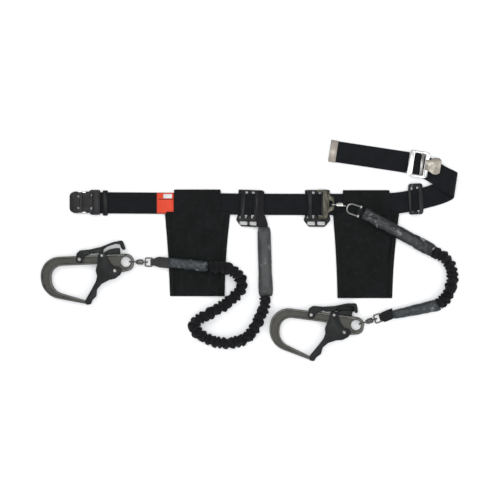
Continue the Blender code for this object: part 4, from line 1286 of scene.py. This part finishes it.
def make_buckle():
    """Moulded case with its levers' notches, two see-through windows and a crowned cover."""
    holes = [fillet(corners, 4) for corners in BUCKLE_HOLES]
    case = joined([slab(fillet(CASE_FLOOR, 8), 0.4, 3.2, 0.7, holes),
                   slab(fillet(CASE_WALL, 5), 2.8, 9.9, 0.2, holes),
                   slab(fillet(CASE_TOP, 8), 9.5, 12.0, 0.9, holes)])
    step = slab(fillet([(18.5, -24.5, 3), (33.5, -24.5, 3), (33.5, 24.5, 3), (18.5, 24.5, 3)],
                       5), 11.8, 12.7, 0.6)
    cover = slab(fillet(COVER, 8), 12.3, 14.6, 1.1)
    ridge = slab(fillet([(-12, -8, 2), (-6.5, -8, 2), (-6.5, 8, 2), (-12, 8, 2)], 5), 14.4,
                 15.2, 0.5)
    for name, works, node_name in (("buckle_case_moulded", [case, step], "buckle_case"),
                                   ("buckle_cover_moulded", [cover, ridge], "buckle_cover")):
        mesh = finish_mesh(joined(works), name)
        mesh.transform(Matrix.Translation(spot(*BUCKLE_AT, 0.0)))
        split_sharp(add_piece(name, mesh, "plastic", "belt", (node_name,)),
                    45.0)


# ---------------------------------------------------------------- fittings, and the run of it all
FORMED = (
    ("belt_keeper", "keeper", "plastic", "black_plastic", 1.4),
    ("left_hanger", "belt", "plastic", "black_plastic", 0.7),
    ("right_hanger", "belt", "plastic", "black_plastic", 0.7),
    ("belt_stopper", "stopper", "plastic", "black_plastic", 0.7),
    ("d_plate", "belt", "zinc", "zinc", 0.8),
    ("adjuster_frame", "adjuster", "bright", "steel", 1.2),
    ("tongue_plate", "adjuster", "tongue", "steel", 0.7),
    ("belt_end_tip", "belt", "clamp", "end_clamp", 1.0),
    ("buckle_lever_upper", "buckle_lever_upper", "stud", "steel", 0.5),
    ("buckle_lever_lower", "buckle_lever_lower", "stud", "steel", 0.5),
    ("slide_bar", "slide_bar", "steel", "steel", 0.5),
)
PAINTED = {
    "anchor_barrel": "stud", "anchor_ring": "stud", "shackle": "steel",
    "shackle_pin": "steel", "buckle_spring": "steel",
}


def repaint():
    """Gives the CAD solids that still show their detailed finishes."""
    for name, finish in PAINTED.items():
        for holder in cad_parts[name].material_slots:
            holder.material = FINISH[finish]


def make_strap_blocks():
    """Webbing at the left hanger, round the shackle pin and round each hook's link."""
    left = smooth_path([(15.5, 52.5, 11.2), (15.0, 62.0, 11.4), (19.0, 90.0, 11.5),
                        (20.0, 112.0, 11.5), (20.0, 136.6, 10.9)], 8)
    right = smooth_path([(42.0, 52.5, 11.2), (41.0, 62.0, 12.2), (32.5, 90.0, 11.7),
                         (33.5, 112.0, 11.5), (33.5, 136.6, 10.9)], 8)
    add_piece("left_top_loop_webbing", ribbon("left_loop", left, right, 1.3, 14, 4.4, 0.08),
              "strap", "belt", ("left_top_loop",))
    for x in (22.6, 31.0):
        stitches(f"left_loop_stitch_{int(x)}", [(x, 96.0, 12.0), (x, 131.0, 12.0)], "belt")
    strap_from_solid("right_top_loop")
    twisted_strap("left", 40.0, 25.0, 1.0, "satin", (0.05, 0.5))
    twisted_strap("right", 29.5, 24.0, -1.0, "strap", (0.0, 0.3))


def twisted_strap(side, reach, wide, way, finish, widen):
    """Webbing turned round the link's bar, folded over itself and led into the end cover."""
    along, across = chain_ways(side)
    eye = Vector((*HOOKS[side]["eye"], 0.0))
    name = side + "_end_strap"
    rise = (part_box(name)[1].z / MM - ORIGIN.z) - (HOOK_Z + 3.6)
    work = bmesh.new()
    layer = work.loops.layers.uv.new("run")
    rows, sides = 26, 32
    rings = []
    for row in range(rows + 1):
        share = row / rows
        x = LINK_FAR - 4.6 + (reach + 5.0) * share
        half = 7.2 + (wide / 2.0 - 7.2) * ease(share, *widen)
        deep = 4.4 * (0.62 + 0.38 * math.sin(math.pi * min(1.0, share * 2.4) / 2.0))
        z = HOOK_Z + max(0.0, rise) * ease(share, 0.15, 0.9)
        ring = []
        for step in range(sides):
            a = math.tau * step / sides
            c, si = math.cos(a), math.sin(a)
            fold = 0.9 * math.sin(3.0 * a + way * share * 5.0) * ease(share, 0.05, 0.3)
            crease = 1.3 * math.exp(-((c - way * (1.2 * share - 0.6)) / 0.2) ** 2)
            y = (half + fold) * squared(c, 0.7)
            rise_here = (deep + fold * 0.6 - crease) * squared(si, 0.7)
            ring.append(work.verts.new(
                (eye + along * x + across * y + Vector((0, 0, z + rise_here)) + ORIGIN) * MM))
        rings.append(ring)
    for index, face in enumerate(skin(work, rings)[:rows * sides]):
        row, i = divmod(index, sides)
        for loop, (r, k) in zip(face.loops, ((row, i), (row, i + 1), (row + 1, i + 1),
                                             (row + 1, i))):
            loop[layer].uv = (r * reach / rows * MM, k * 1.6 * MM)
    add_piece(name + "_woven", finish_mesh(work, name), finish, "belt", (name,))


def strap_from_solid(name):
    """Strap turned round a bar: the CAD solid's shape, rounded, with a woven run over it."""
    made = rounded_copy(name, 0.8, 3, 35.0)
    layer = made.uv_layers.new(name="run")
    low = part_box(name)[0]
    for loop in made.loops:
        place = made.vertices[loop.vertex_index].co
        layer.data[loop.index].uv = (place.x - low.x + (place.z - low.z), place.y - low.y)
    add_piece(name + "_woven", made, "strap", "belt", (name,))


def main():
    make_camera()
    make_studio()
    for side in ("left", "right"):
        make_bungee(side)
    make_belt()
    make_belt_wrap()
    make_label()
    for side in ("left", "right"):
        make_pouch_bag(side)
        make_pouch_strap(side)
        make_pouch_trim(side)
        make_hook(side)
    make_covers()
    make_buckle()
    make_strap_blocks()
    for name, body, finish, slot, width in FORMED:
        softened(name, body, finish, width)
    for name in ("buckle_rivet_1", "buckle_rivet_2"):
        rivet(name, "belt")
    rivet("tongue_rivet", "adjuster")
    repaint()


main()
